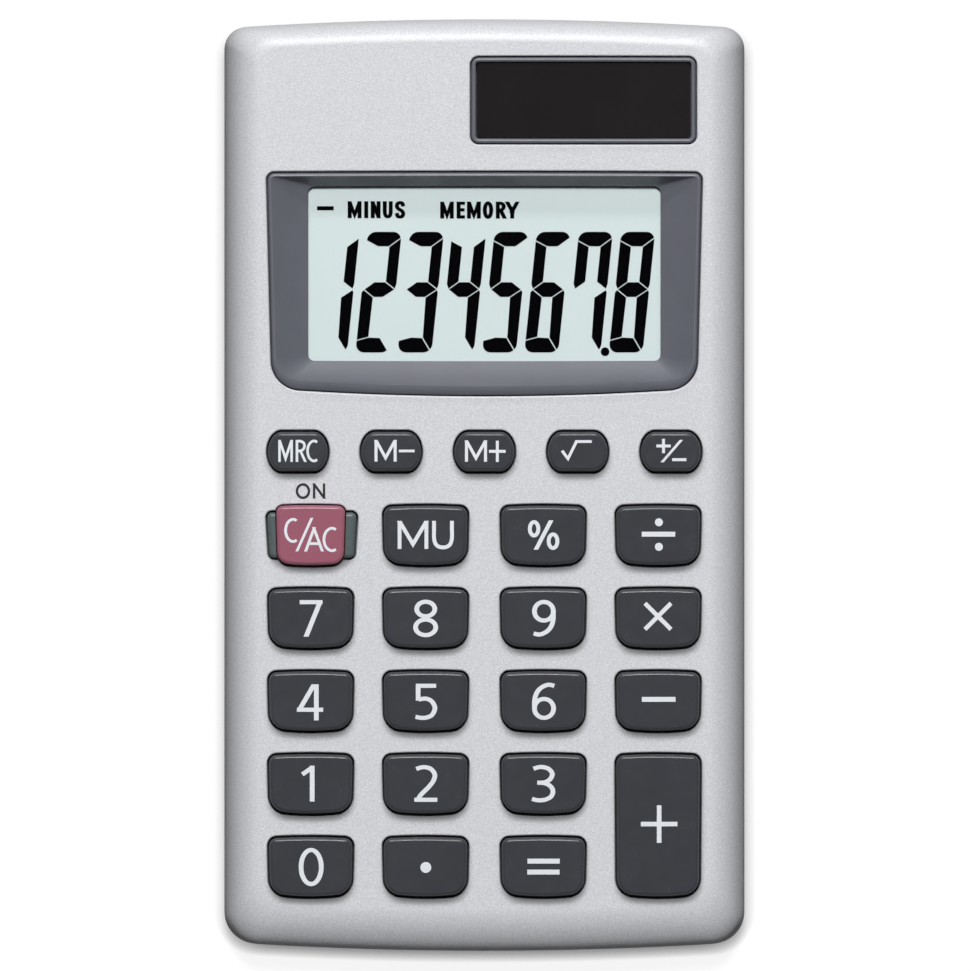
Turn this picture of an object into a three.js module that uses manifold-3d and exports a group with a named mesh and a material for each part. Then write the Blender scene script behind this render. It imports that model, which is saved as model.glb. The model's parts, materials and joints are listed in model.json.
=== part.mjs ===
// A flat pocket calculator: a two-part case with 24 keys, a sunken display and a solar window,
// and the board, rubber keypad and button cell that it holds.
// Millimetres. It lies on its back: +Z points out of the key face, +Y to the display end,
// and the origin is under the middle of the back.
import * as THREE from "three";
import { mergeVertices } from "three/addons/utils/BufferGeometryUtils.js";
import Module from "manifold-3d";

const wasm = await Module();
wasm.setup();

// Counts of steps along the curves
const caseCornerSteps = 4;
const caseBowSteps = 4;
const rollSteps = 5;
const cornerSteps = 2;
const bowSteps = 1;
const keyCornerSteps = 3;
const keyBowSteps = 3;
const barrelSteps = 7;
const roundSides = 18;
const postSides = 10;
const domeSides = 8;
const wireSides = 8;
const wireSteps = 10;

// Clearances and other small allowances
const overrun = 1; // how far a cutter passes the face that it opens
const seat = 0.1; // between pieces that lie against each other
const clearance = 0.3; // between pieces that pass each other
const mergeDistance = 1e-4;
const flatBow = 4000; // the bow radius of an edge that looks straight
const smallestRadius = 0.15; // of a corner that is moved inward

// Places of the keys, row by row from the display down
const smallKeyNames = [
  "key_memory_recall",
  "key_memory_minus",
  "key_memory_plus",
  "key_square_root",
  "key_sign_change",
];
const keyNames = [
  ["key_clear", "key_mark_up", "key_percent", "key_divide"],
  ["key_7", "key_8", "key_9", "key_multiply"],
  ["key_4", "key_5", "key_6", "key_minus"],
  ["key_1", "key_2", "key_3", "key_plus"],
  ["key_0", "key_decimal_point", "key_equals"],
];

// Large keys
const keyWidth = 9.1;
const keyHeight = 6.6;
const keyGap = 0.2; // round a key in its opening
const innerColumn = 6.43; // from the middle of the case to the two inner columns
const columnStep = 12.57; // from an inner column to an outer one
const rowPitch = 9.06;
const keyTopRadius = 0.8;
const keyBottomRadius = 1.75;
const keyTopBow = 70;
const keyBottomBow = 22;
const keyLean = 0.24; // how much narrower each side is at the lower end
const keyRise = 0.9; // above the face
const keyBevelWidth = 0.45;
const keyBevelDrop = 0.4;
const keyFlange = 0.6; // past the key's sides, under the face
const keyFlangeThickness = 0.6;
const keyFlangeGap = 0.3; // from a flange up to the face's underside

// Small keys
const smallKeyWidth = 6.6;
const smallKeyHeight = 4.3;
const smallKeyEnd = 1.5; // the depth of each rounded end
const smallKeyPitch = 10.2;

// The clear key and its guard
const clearKeyWidth = 7.55;
const clearKeyHeight = 6.65;
const clearKeyGap = 0.12;
const clearKeyTopRadius = 0.8;
const clearKeyBottomRadius = 1.35;
const clearKeyBottomBow = 26;
const guardReach = 1.1; // the width of each ear beside the key
const guardHeight = 5;
const guardRise = 0.45;
const guardRadius = 0.55;
const guardEdge = 0.25; // the bevel round the ears
const guardPlate = 0.6;
const guardRim = 0.5; // of the plate, past the ears and the key

// Outline of the case
const sideMargin = 4.75; // from the outer key openings to the sides
const topMargin = 3.9; // from the solar frame to the end
const solarMargin = 3; // from the solar frame to the display bezel
const bezelMargin = 3.7; // from the bezel to the small keys
const smallKeyMargin = 3.27; // from the small keys to the large ones
const bottomMargin = 5.79; // from the last row to the end
const endBow = 420;
const topCornerRadius = 2.4;
const bottomCornerRadius = 3.5;

// Heights, from the back up
const floorThickness = 1.2;
const underBoard = 1.1;
const boardThickness = 0.8;
const sheetThickness = 0.7;
const domeHeight = 2.1;
const faceThickness = 1.3;
const partingHeight = 3;
const seam = 0.15; // the groove between the two halves of the case

// The case's rolled edges and walls
const wall = 1.3;
const sideRoll = 4.2;
const topRoll = 2.6;
const bottomRoll = 4.8;
const rollDrop = 3.8;
const backRound = 1.4;
const backRise = 1.6;
const lipThickness = 0.6;
const lipRise = 0.9;
const lipRoot = 1.2; // how far the lip's thick root reaches below the seam
const lipClearance = 0.15;

// Case screws and their bosses
const screwSideInset = 3.6;
const screwEndInset = 3.2;
const screwMiddleInset = 3.2;
const screwRadius = 0.8;
const screwLength = 4;
const screwTip = 0.7;
const screwHeadRadius = 1.4;
const screwHeadHeight = 0.9;
const screwHeadSunk = 0.6;
const screwRecess = 0.45;
const screwSlotWidth = 0.35;
const screwSlotLength = 1.5;
const bossRadius = 1.5;
const pilotClearance = 0.05;
const cupRadius = 2.3;
const cupRise = 1; // of a cup above the head's seat

// The posts that hold the board, melted over at their ends
const postRadius = 0.7;
const postShoulder = 1;
const postHeadRadius = 1.2;
const postHeadHeight = 0.5;

// Rear cover
const ribThickness = 0.8;
const ribInset = 4.3; // from the board's edge
const panelWidth = 30;
const panelHeight = 17;
const panelDepth = 0.25;
const panelRadius = 1.2;

// Display
const bezelHeight = 24.7;
const bezelSideMargin = 4.62; // from the case's sides to the bezel
const bezelTopRadius = 0.9;
const bezelBottomRadius = 3.3;
const bezelBottomBow = 330;
const bezelLean = 0.5;
const bezelGap = 0.12;
const bezelEdge = 0.2;
const bezelRim = 0.3;
const bezelSunk = 0.05; // below the face
const bezelFlange = 0.8;
const bezelPlate = 0.6; // the thickness of the bezel's flange
const slopeSide = 4.6; // the width of the slopes round the window
const slopeTop = 1.6;
const slopeBottom = 3.8;
const windowDepth = 1.6; // from the bezel's top down to the window's edge
const windowRadius = 0.7;
const lensThickness = 0.5;
const filmThickness = 0.15;
const glassThickness = 0.55;
const glassOverlap = 1.4; // of the glass past the window
const glassLedge = 1.7; // of the front glass past the rear one
const skirtThickness = 0.8;
const connectorThickness = 1.2;
const connectorEnd = 2; // from the glass's end to the strip's end

// Solar cell
const solarWidth = 24.8;
const solarHeight = 9.7;
const solarSideMargin = 5.26;
const solarFrameWidth = 0.65;
const solarRadius = 0.95;
const solarGap = 0.12;
const solarEdge = 0.3;
const solarFlange = 0.4;
const solarFlangeThickness = 0.6;
const solarWindowSunk = 0.35;
const solarWindowThickness = 0.8;
const solarCellThickness = 0.9;
const solarLedge = 0.5;
const solarLedgeThickness = 0.4;
const wireRadius = 0.3;
const wireInset = 3; // from the cell's ends
const wireSlack = 1.2;

// Electronics
const boardClearance = 0.3;
const boardRadius = 1;
const sheetMargin = 1.2; // of the keypad past the small keys
const domeBaseRadius = 2.2;
const domeNeckRadius = 1.5;
const domeWall = 0.45;
const domeHead = 0.9; // the solid head of a dome
const chipRadius = 5;
const chipHeight = 0.8;
const chipEdge = 0.35;
const canRadius = 1.5;
const canHeight = 2.4;
const canCrimp = 0.2;
const chipPartLength = 3.2;
const chipPartWidth = 1.6;
const chipPartHeight = 0.6;
const chipPartPitch = 4;
const chipPartMargin = 2.4; // from the middle of the LCD glass to the row of chip parts

// Button cell and its contacts
const cellRadius = 5.8;
const cellHeight = 3.05;
const cellCapRadius = 4.7;
const cellCapHeight = 0.4;
const cellShoulder = 0.3;
const cellClearance = 0.4;
const contactThickness = 0.2;
const contactWidth = 3;
const contactFoot = 1.4;
const cellStopRadius = 2;

// Derived from the sizes above
const keyOpeningHeight = keyHeight + 2 * keyGap;
const smallOpeningHeight = smallKeyHeight + 2 * keyGap;
const outerColumn = innerColumn + columnStep;
const caseHalf = outerColumn + keyWidth / 2 + keyGap + sideMargin;
const rowsHeight = (keyNames.length - 1) * rowPitch + keyOpeningHeight;
const displayHeight = topMargin + solarHeight + solarMargin + bezelHeight + bezelMargin;
const keypadHeight = smallOpeningHeight + smallKeyMargin + rowsHeight + bottomMargin;
const caseTop = (displayHeight + keypadHeight) / 2;
const smallRowY = caseTop - displayHeight - smallOpeningHeight / 2;
const firstRowY = smallRowY - (smallOpeningHeight + keyOpeningHeight) / 2 - smallKeyMargin;

const boardBottom = floorThickness + underBoard;
const boardTop = boardBottom + boardThickness;
const sheetTop = boardTop + sheetThickness;
const keyUnderside = sheetTop + domeHeight + seat;
const ceiling = keyUnderside + keyFlangeThickness + keyFlangeGap;
const face = ceiling + faceThickness;
const shoulder = face - rollDrop;
const keyTop = face + keyRise;

const lipDepth = wall + lipClearance + lipThickness;
const screwX = caseHalf - screwSideInset;
const screwY = caseTop - screwEndInset;
const screwSeat = screwHeadSunk + screwHeadHeight;
const boardHalf = screwX - cupRadius - boardClearance;
const boardEnd = caseTop - lipDepth - boardClearance;

const frontRolls = { side: sideRoll, top: topRoll, bottom: bottomRoll };
const backRolls = { side: backRound, top: backRound, bottom: backRound };

// Steps of an outline's corners and of its bowed end
const plainSteps = [cornerSteps, bowSteps];
const keyEndSteps = [keyCornerSteps, keyBowSteps];
const caseSteps = [caseCornerSteps, caseBowSteps];

// The finishes of the pieces
const finishes = {
  silverPaint: { color: 0xcdced2, roughness: 0.42, metalness: 0.25 },
  greyPlastic: { color: 0xb4b5b9, roughness: 0.5, metalness: 0 },
  slatePlastic: { color: 0x60636b, roughness: 0.4, metalness: 0 },
  darkPlastic: { color: 0x414247, roughness: 0.35, metalness: 0 },
  rosePlastic: { color: 0x9c6172, roughness: 0.35, metalness: 0 },
  guardPlastic: { color: 0x5e6866, roughness: 0.35, metalness: 0 },
  clearPlastic: { color: 0xdfe6e8, roughness: 0.08, metalness: 0, transparent: true, opacity: 0.3 },
  film: { color: 0xd5e2e2, roughness: 0.3, metalness: 0, transparent: true, opacity: 0.6 },
  glass: { color: 0xd8e6e2, roughness: 0.05, metalness: 0, transparent: true, opacity: 0.4 },
  reflector: { color: 0xd3dedc, roughness: 0.4, metalness: 0.3 },
  solar: { color: 0x252223, roughness: 0.15, metalness: 0 },
  rubber: { color: 0xd9d6cc, roughness: 0.8, metalness: 0 },
  darkRubber: { color: 0x3a3a3c, roughness: 0.8, metalness: 0 },
  board: { color: 0x2f6b3f, roughness: 0.5, metalness: 0 },
  resin: { color: 0x151515, roughness: 0.4, metalness: 0 },
  steel: { color: 0xb8babd, roughness: 0.3, metalness: 0.9 },
  ceramic: { color: 0xb39b78, roughness: 0.6, metalness: 0 },
  redWire: { color: 0xa8322c, roughness: 0.5, metalness: 0 },
  blackWire: { color: 0x1c1c1e, roughness: 0.5, metalness: 0 },
};

const calculator = new THREE.Group();

// Adds one piece, from a geometry or from the result of a cut.
function addPiece(name, shape, finish) {
  const geometry = shape.isBufferGeometry ? shape : geometryOf(shape);
  const mesh = new THREE.Mesh(geometry, new THREE.MeshStandardMaterial(finishes[finish]));
  mesh.name = name;
  calculator.add(mesh);
}

function solidOf(geometry) {
  const bare = geometry.clone();
  bare.deleteAttribute("normal");
  bare.deleteAttribute("uv");
  const merged = mergeVertices(bare, mergeDistance);
  return new wasm.Manifold(
    new wasm.Mesh({
      numProp: 3,
      vertProperties: new Float32Array(merged.attributes.position.array),
      triVerts: new Uint32Array(merged.index.array),
    }),
  );
}

function geometryOf(solid) {
  const { numProp, vertProperties, triVerts } = solid.getMesh();
  const geometry = new THREE.BufferGeometry();
  geometry.setAttribute("position", new THREE.BufferAttribute(new Float32Array(vertProperties), numProp));
  geometry.setIndex(new THREE.BufferAttribute(new Uint32Array(triVerts), 1));
  geometry.computeVertexNormals();
  return geometry;
}

function joined(solids) {
  return solids.reduce((whole, solid) => whole.add(solid));
}

function cut(body, cutters) {
  return body.subtract(joined(cutters));
}

function counted(count) {
  return Array.from({ length: count }, (_, index) => index);
}

function arc(x, y, radius, start, end, steps) {
  return counted(steps + 1).map((step) => {
    const angle = start + ((end - start) * step) / steps;
    return new THREE.Vector2(x + radius * Math.cos(angle), y + radius * Math.sin(angle));
  });
}

// The upper end of an outline, from its right side to its left one: two corners, and between
// them a long arc that touches both. Its highest point is at zero height.
function bowedEnd(half, radius, bow, [corners, bows]) {
  const x = half - radius;
  const y = Math.sqrt((bow - radius) ** 2 - x ** 2) - bow;
  const tilt = Math.asin(x / (bow - radius));
  const right = arc(x, y, radius, 0, Math.PI / 2 - tilt, corners);
  const middle = arc(0, -bow, bow, Math.PI / 2 - tilt, Math.PI / 2 + tilt, bows);
  const left = arc(-x, y, radius, Math.PI / 2 + tilt, Math.PI, corners);
  return [...right, ...middle.slice(1, -1), ...left];
}

// An outline with rounded corners and bowed ends, anticlockwise. Outlines with the same steps
// have as many points, in the same order, so they can be lofted.
function bowedOutline(size) {
  const { x = 0, half, top, bottom, topRadius, bottomRadius, topBow, bottomBow } = size;
  const { lean = 0, topSteps = plainSteps, bottomSteps = plainSteps } = size;
  const upper = bowedEnd(half, topRadius, topBow, topSteps);
  const lower = bowedEnd(half - lean, bottomRadius, bottomBow, bottomSteps);
  return [
    ...upper.map((point) => new THREE.Vector2(x + point.x, top + point.y)),
    ...lower.map((point) => new THREE.Vector2(x - point.x, bottom - point.y)),
  ];
}

// The same outline moved outward by a distance, or inward by a negative one.
function grown(size, distance) {
  return {
    ...size,
    half: size.half + distance,
    top: size.top + distance,
    bottom: size.bottom - distance,
    topRadius: Math.max(size.topRadius + distance, smallestRadius),
    bottomRadius: Math.max(size.bottomRadius + distance, smallestRadius),
    topBow: size.topBow + distance,
    bottomBow: size.bottomBow + distance,
  };
}

// An outline with straight long sides and half ellipses as its ends.
function barrelOutline({ x, y, half, halfHeight, end }) {
  const halfTurn = (side, start) =>
    arc(0, 0, 1, start, start + Math.PI, barrelSteps).map(
      (unit) =>
        new THREE.Vector2(x + side * (half - end) + unit.x * end, y + unit.y * halfHeight),
    );
  return [...halfTurn(1, -Math.PI / 2), ...halfTurn(-1, Math.PI / 2)];
}

function rectangle(x, half, bottom, top, radius, bow = flatBow) {
  return {
    x,
    half,
    top,
    bottom,
    topRadius: radius,
    bottomRadius: radius,
    topBow: bow,
    bottomBow: bow,
  };
}

// A closed body through level outlines of as many points each, from the lowest up.
function loft(levels) {
  const count = levels[0].points.length;
  const positions = levels.flatMap(({ points, z }) => points.flatMap((point) => [point.x, point.y, z]));
  const triangles = [];
  for (const level of counted(levels.length - 1)) {
    for (const index of counted(count)) {
      const here = level * count + index;
      const next = level * count + ((index + 1) % count);
      triangles.push(here, next, next + count, here, next + count, here + count);
    }
  }
  const lastStart = (levels.length - 1) * count;
  const lid = THREE.ShapeUtils.triangulateShape(levels[levels.length - 1].points, []);
  const base = THREE.ShapeUtils.triangulateShape(levels[0].points, []);
  lid.forEach(([a, b, c]) => triangles.push(lastStart + a, lastStart + b, lastStart + c));
  base.forEach(([a, b, c]) => triangles.push(a, c, b));
  const geometry = new THREE.BufferGeometry();
  geometry.setAttribute("position", new THREE.Float32BufferAttribute(positions, 3));
  geometry.setIndex(triangles);
  return solidOf(geometry);
}

function prism(points, bottom, top) {
  return loft([
    { points, z: bottom },
    { points, z: top },
  ]);
}

function block(left, right, near, far, bottom, top) {
  const geometry = new THREE.BoxGeometry(right - left, far - near, top - bottom);
  return solidOf(geometry.translate((left + right) / 2, (near + far) / 2, (bottom + top) / 2));
}

function cylinder(x, y, radius, bottom, top, sides = roundSides, topRadius = radius) {
  const geometry = new THREE.CylinderGeometry(topRadius, radius, top - bottom, sides);
  return solidOf(geometry.rotateX(Math.PI / 2).translate(x, y, (bottom + top) / 2));
}

// A turned body on a vertical axis, from [radius, height] pairs that start and end on the axis.
function turned(x, y, profile, sides = roundSides) {
  const points = profile.map(([radius, height]) => new THREE.Vector2(radius, height));
  return new THREE.LatheGeometry(points, sides).rotateX(Math.PI / 2).translate(x, y, 0);
}

// The case's outline at a depth inside its skin and at a turn round one of its rolled edges.
function caseOutline(depth, turn, rolls) {
  const inward = (roll) => roll - (roll - depth) * Math.cos(turn);
  return bowedOutline({
    half: caseHalf - inward(rolls.side),
    top: caseTop - inward(rolls.top),
    bottom: inward(rolls.bottom) - caseTop,
    topRadius: topCornerRadius - depth,
    bottomRadius: bottomCornerRadius - depth,
    topBow: endBow,
    bottomBow: endBow,
    topSteps: caseSteps,
    bottomSteps: caseSteps,
  });
}

const rollTurns = counted(rollSteps + 1).map((step) => ((step / rollSteps) * Math.PI) / 2);

// The front half of the case, solid, down to a height.
function frontBody(depth, rise, bottom) {
  const rolled = rollTurns.map((turn) => ({
    points: caseOutline(depth, turn, frontRolls),
    z: shoulder + rise * Math.sin(turn),
  }));
  return loft([{ points: caseOutline(depth, 0, frontRolls), z: bottom }, ...rolled]);
}

// The rear half of the case, solid, up to a height.
function rearBody(depth, rise, top) {
  const rounded = rollTurns.toReversed().map((turn) => ({
    points: caseOutline(depth, turn, backRolls),
    z: backRise - rise * Math.sin(turn),
  }));
  return loft([...rounded, { points: caseOutline(depth, 0, backRolls), z: top }]);
}

// The keys: each has its place, its finish and the outline that it has at a distance outward
function largeKey(name, x, y, height) {
  const size = {
    ...rectangle(x, keyWidth / 2, y - height / 2, y + height / 2, keyTopRadius),
    bottomRadius: keyBottomRadius,
    topBow: keyTopBow,
    bottomBow: keyBottomBow,
    lean: keyLean,
    bottomSteps: keyEndSteps,
  };
  return {
    name,
    x,
    finish: "darkPlastic",
    gap: keyGap,
    outline: (distance) => bowedOutline(grown(size, distance)),
    underside: keyUnderside,
    domes: [y],
  };
}

function smallKey(name, x, y) {
  return {
    name,
    x,
    finish: "darkPlastic",
    gap: keyGap,
    outline: (distance) =>
      barrelOutline({
        x,
        y,
        half: smallKeyWidth / 2 + distance,
        halfHeight: smallKeyHeight / 2 + distance,
        end: smallKeyEnd + distance,
      }),
    underside: keyUnderside,
    domes: [y],
  };
}

// The clear key sits lower inside, because the guard's plate lies over its flange.
function clearKey(name, x, y) {
  const size = {
    ...rectangle(x, clearKeyWidth / 2, y - clearKeyHeight / 2, y + clearKeyHeight / 2, clearKeyTopRadius),
    bottomRadius: clearKeyBottomRadius,
    topBow: keyTopBow,
    bottomBow: clearKeyBottomBow,
    lean: keyLean / 2,
    bottomSteps: keyEndSteps,
  };
  return {
    name,
    x,
    finish: "rosePlastic",
    gap: clearKeyGap,
    outline: (distance) => bowedOutline(grown(size, distance)),
    underside: ceiling - seat - guardPlate - keyFlangeGap - keyFlangeThickness,
    domes: [y],
  };
}

function listKeys() {
  const columns = [-outerColumn, -innerColumn, innerColumn, outerColumn];
  const keys = smallKeyNames.map((name, index) =>
    smallKey(name, (index - (smallKeyNames.length - 1) / 2) * smallKeyPitch, smallRowY),
  );
  keyNames.forEach((names, row) => {
    names.forEach((name, column) => {
      const y = firstRowY - row * rowPitch;
      if (name === "key_clear") keys.push(clearKey(name, columns[column], y));
      else if (name === "key_plus") keys.push(plusKey(name, columns[column], y));
      else keys.push(largeKey(name, columns[column], y, keyHeight));
    });
  });
  return keys;
}

// The plus key is two rows high, and presses two domes.
function plusKey(name, x, y) {
  const key = largeKey(name, x, y - rowPitch / 2, keyHeight + rowPitch);
  return { ...key, domes: [y, y - rowPitch] };
}

const keys = listKeys();
const guardedKey = keys.find((key) => key.name === "key_clear");
const lastRowY = firstRowY - (keyNames.length - 1) * rowPitch;

function keySolid({ outline, underside }) {
  const flangeTop = underside + keyFlangeThickness;
  return loft([
    { points: outline(keyFlange), z: underside },
    { points: outline(keyFlange), z: flangeTop },
    { points: outline(0), z: flangeTop },
    { points: outline(0), z: keyTop - keyBevelDrop },
    { points: outline(-keyBevelWidth / 3), z: keyTop - keyBevelDrop / 4 },
    { points: outline(-keyBevelWidth), z: keyTop },
  ]);
}

function faceOpening(points) {
  return prism(points, ceiling - overrun, face + overrun);
}

// Guard of the clear key: a plate under the face with an ear through it on each side of the key
const guardSize = {
  ...rectangle(
    guardedKey.x,
    clearKeyWidth / 2 + clearKeyGap + guardReach,
    firstRowY - guardHeight / 2,
    firstRowY + guardHeight / 2,
    guardRadius,
  ),
  lean: keyLean,
};

function guardSolid() {
  const top = face + guardRise;
  const plateTop = ceiling - seat;
  const plateSize = {
    ...guardSize,
    top: firstRowY + clearKeyHeight / 2 + clearKeyGap,
    bottom: firstRowY - clearKeyHeight / 2 - clearKeyGap,
    lean: 0,
  };
  const plate = prism(bowedOutline(grown(plateSize, guardRim)), plateTop - guardPlate, plateTop);
  const ears = loft([
    { points: bowedOutline(guardSize), z: plateTop - guardPlate / 2 },
    { points: bowedOutline(guardSize), z: top - guardEdge },
    { points: bowedOutline(grown(guardSize, -guardEdge)), z: top },
  ]);
  const keyWay = prism(guardedKey.outline(clearKeyGap), plateTop - guardPlate - overrun, top + overrun);
  return cut(plate.add(ears), [keyWay]);
}

// Display
const bezelTop = caseTop - topMargin - solarHeight - solarMargin;
const bezelSize = {
  ...rectangle(0, caseHalf - bezelSideMargin, bezelTop - bezelHeight, bezelTop, bezelTopRadius),
  bottomRadius: bezelBottomRadius,
  bottomBow: bezelBottomBow,
  lean: bezelLean,
  bottomSteps: caseSteps,
};
const windowSize = {
  ...rectangle(
    0,
    bezelSize.half - slopeSide,
    bezelSize.bottom + slopeBottom,
    bezelTop - slopeTop,
    windowRadius,
  ),
  bottomSteps: caseSteps,
};
const glassSize = rectangle(
  0,
  windowSize.half + glassOverlap,
  windowSize.bottom - glassOverlap - glassLedge,
  windowSize.top + glassOverlap,
  windowRadius,
);
const bezelFace = face - bezelSunk;
const windowEdge = bezelFace - windowDepth;
const bezelFlangeTop = ceiling - seat;
const bezelBase = bezelFlangeTop - bezelPlate;
const lensBottom = bezelBase - lensThickness;
const frontFilmBottom = lensBottom - seat - filmThickness;
const frontGlassBottom = frontFilmBottom - glassThickness;
const rearGlassBottom = frontGlassBottom - glassThickness;
const rearFilmBottom = rearGlassBottom - filmThickness;

function bezelSolid() {
  const outer = grown(bezelSize, -bezelGap);
  const body = loft([
    { points: bowedOutline(grown(bezelSize, bezelFlange)), z: bezelBase },
    { points: bowedOutline(grown(bezelSize, bezelFlange)), z: bezelFlangeTop },
    { points: bowedOutline(outer), z: bezelFlangeTop },
    { points: bowedOutline(outer), z: bezelFace - bezelEdge },
    { points: bowedOutline(grown(outer, -bezelEdge)), z: bezelFace },
  ]);
  const rim = grown(outer, -bezelEdge - bezelRim);
  const funnel = loft([
    { points: bowedOutline(windowSize), z: bezelBase - overrun },
    { points: bowedOutline(windowSize), z: windowEdge },
    { points: bowedOutline(rim), z: bezelFace },
    { points: bowedOutline(rim), z: bezelFace + overrun },
  ]);
  const pocket = grown(glassSize, seat);
  const skirt = prism(bowedOutline(grown(pocket, skirtThickness)), rearGlassBottom, bezelBase);
  const pocketCut = prism(bowedOutline(pocket), rearGlassBottom - overrun, bezelBase);
  return cut(cut(body, [funnel]).add(skirt.subtract(pocketCut)), [
    prism(bowedOutline(windowSize), rearGlassBottom - overrun, windowEdge),
  ]);
}

function addDisplay() {
  const whole = bowedOutline(glassSize);
  const short = bowedOutline({ ...glassSize, bottom: glassSize.bottom + glassLedge });
  const ledgeMiddle = glassSize.bottom + glassLedge / 2;
  const connectorHalf = glassSize.half - connectorEnd;
  addPiece("display_bezel", bezelSolid(), "slatePlastic");
  addPiece("display_window", prism(whole, lensBottom, bezelBase), "clearPlastic");
  addPiece("lcd_front_polariser", prism(short, frontFilmBottom, lensBottom - seat), "film");
  addPiece("lcd_front_glass", prism(whole, frontGlassBottom, frontFilmBottom), "glass");
  addPiece("lcd_rear_glass", prism(short, rearGlassBottom, frontGlassBottom), "glass");
  addPiece("lcd_reflector", prism(short, rearFilmBottom, rearGlassBottom), "reflector");
  addPiece(
    "lcd_connector",
    block(
      -connectorHalf,
      connectorHalf,
      ledgeMiddle - connectorThickness / 2,
      ledgeMiddle + connectorThickness / 2,
      boardTop,
      frontGlassBottom,
    ),
    "darkRubber",
  );
}

// Solar cell in its frame
const solarX = caseHalf - solarSideMargin - solarWidth / 2;
const solarTop = caseTop - topMargin;
const solarSize = rectangle(solarX, solarWidth / 2, solarTop - solarHeight, solarTop, solarRadius);
const solarPocket = grown(solarSize, -solarFrameWidth);
const solarWindowTop = face - solarWindowSunk;
const solarCellTop = solarWindowTop - solarWindowThickness;
const solarCellBottom = solarCellTop - solarCellThickness;
const solarBase = solarCellBottom - solarLedgeThickness;

function solarFrameSolid() {
  const outer = grown(solarSize, -solarGap);
  const flange = bowedOutline(grown(solarSize, solarFlange));
  const flangeTop = ceiling - seat;
  const body = loft([
    { points: bowedOutline(outer), z: solarBase },
    { points: bowedOutline(outer), z: flangeTop - solarFlangeThickness },
    { points: flange, z: flangeTop - solarFlangeThickness },
    { points: flange, z: flangeTop },
    { points: bowedOutline(outer), z: flangeTop },
    { points: bowedOutline(outer), z: face - solarEdge / 2 },
    { points: bowedOutline(grown(outer, -solarEdge / 2)), z: face },
  ]);
  const pocket = loft([
    { points: bowedOutline(solarPocket), z: solarCellBottom },
    { points: bowedOutline(solarPocket), z: solarWindowTop },
    { points: bowedOutline(grown(solarPocket, solarEdge / 2)), z: face },
    { points: bowedOutline(grown(solarPocket, solarEdge / 2)), z: face + overrun },
  ]);
  const way = prism(bowedOutline(grown(solarPocket, -solarLedge)), solarBase - overrun, solarCellTop);
  return cut(body, [pocket, way]);
}

function wireSolid(x, y, side) {
  const path = new THREE.CatmullRomCurve3([
    new THREE.Vector3(x, y, solarCellBottom - seat),
    new THREE.Vector3(x, y, solarCellBottom - seat - wireRadius * 2),
    new THREE.Vector3(x + side * wireSlack, y, (solarCellBottom + boardTop) / 2),
    new THREE.Vector3(x, y, boardTop + seat + wireRadius * 2),
    new THREE.Vector3(x, y, boardTop + seat),
  ]);
  const section = new THREE.Shape(arc(0, 0, wireRadius, 0, 2 * Math.PI, wireSides).slice(0, -1));
  return new THREE.ExtrudeGeometry(section, { extrudePath: path, steps: wireSteps });
}

function addSolarCell() {
  const fitted = bowedOutline(grown(solarPocket, -seat));
  const wireX = solarPocket.half - wireInset;
  const wireY = solarTop - solarHeight / 2;
  addPiece("solar_frame", solarFrameSolid(), "slatePlastic");
  addPiece("solar_window", prism(fitted, solarCellTop, solarWindowTop), "clearPlastic");
  addPiece("solar_cell", prism(fitted, solarCellBottom, solarCellTop), "solar");
  addPiece("solar_wire_positive", wireSolid(solarX + wireX, wireY, -1), "redWire");
  addPiece("solar_wire_negative", wireSolid(solarX - wireX, wireY, 1), "blackWire");
}

// Places of the button cell, of the posts that hold the board and of the case screws
const cellX = (solarX - solarWidth / 2 - solarFlange - caseHalf + wall) / 2;
const cellY = solarTop - solarHeight / 2;
const cellBottom = floorThickness + seat + contactThickness;
const cellTop = cellBottom + cellHeight;
const cutoutRadius = cellRadius + cellClearance;

function postPlaces() {
  const between = (innerColumn + outerColumn) / 2;
  const upperGap = smallRowY - (smallOpeningHeight + smallKeyMargin) / 2;
  const middleGap = firstRowY - (keyNames.length / 2) * rowPitch;
  const lowerEdge = lastRowY - keyHeight / 2 - keyFlange - postShoulder - seat;
  const besideCell = cellX + cutoutRadius + contactFoot + postHeadRadius;
  return [
    [-between, upperGap],
    [between, upperGap],
    [-between, middleGap],
    [between, middleGap],
    [-between, lowerEdge],
    [between, lowerEdge],
    [besideCell, solarTop - postHeadRadius],
  ];
}

const posts = postPlaces();
const middleScrewY = bezelTop - bezelHeight - bezelMargin / 2 + seat;
const screwPlaces = [
  [-screwX, screwY],
  [screwX, screwY],
  [-caseHalf + screwMiddleInset, middleScrewY],
  [caseHalf - screwMiddleInset, middleScrewY],
  [-screwX, -screwY],
  [screwX, -screwY],
];

// Front case
function postSolids() {
  const headTop = boardBottom - seat;
  return posts.flatMap(([x, y]) => [
    cylinder(x, y, postShoulder, sheetTop + seat, face, postSides),
    cylinder(x, y, postRadius, headTop - postHeadHeight, face, postSides),
    cylinder(x, y, postHeadRadius, headTop - postHeadHeight, headTop, postSides),
  ]);
}

function bossSolids() {
  const bottom = screwSeat + cupRise + seat;
  return screwPlaces.map(([x, y]) => cylinder(x, y, bossRadius, bottom, face, postSides));
}

function pilotHoles() {
  const radius = screwRadius + pilotClearance;
  return screwPlaces.map(([x, y]) =>
    cylinder(x, y, radius, screwSeat, screwSeat + screwLength + clearance, postSides),
  );
}

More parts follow.
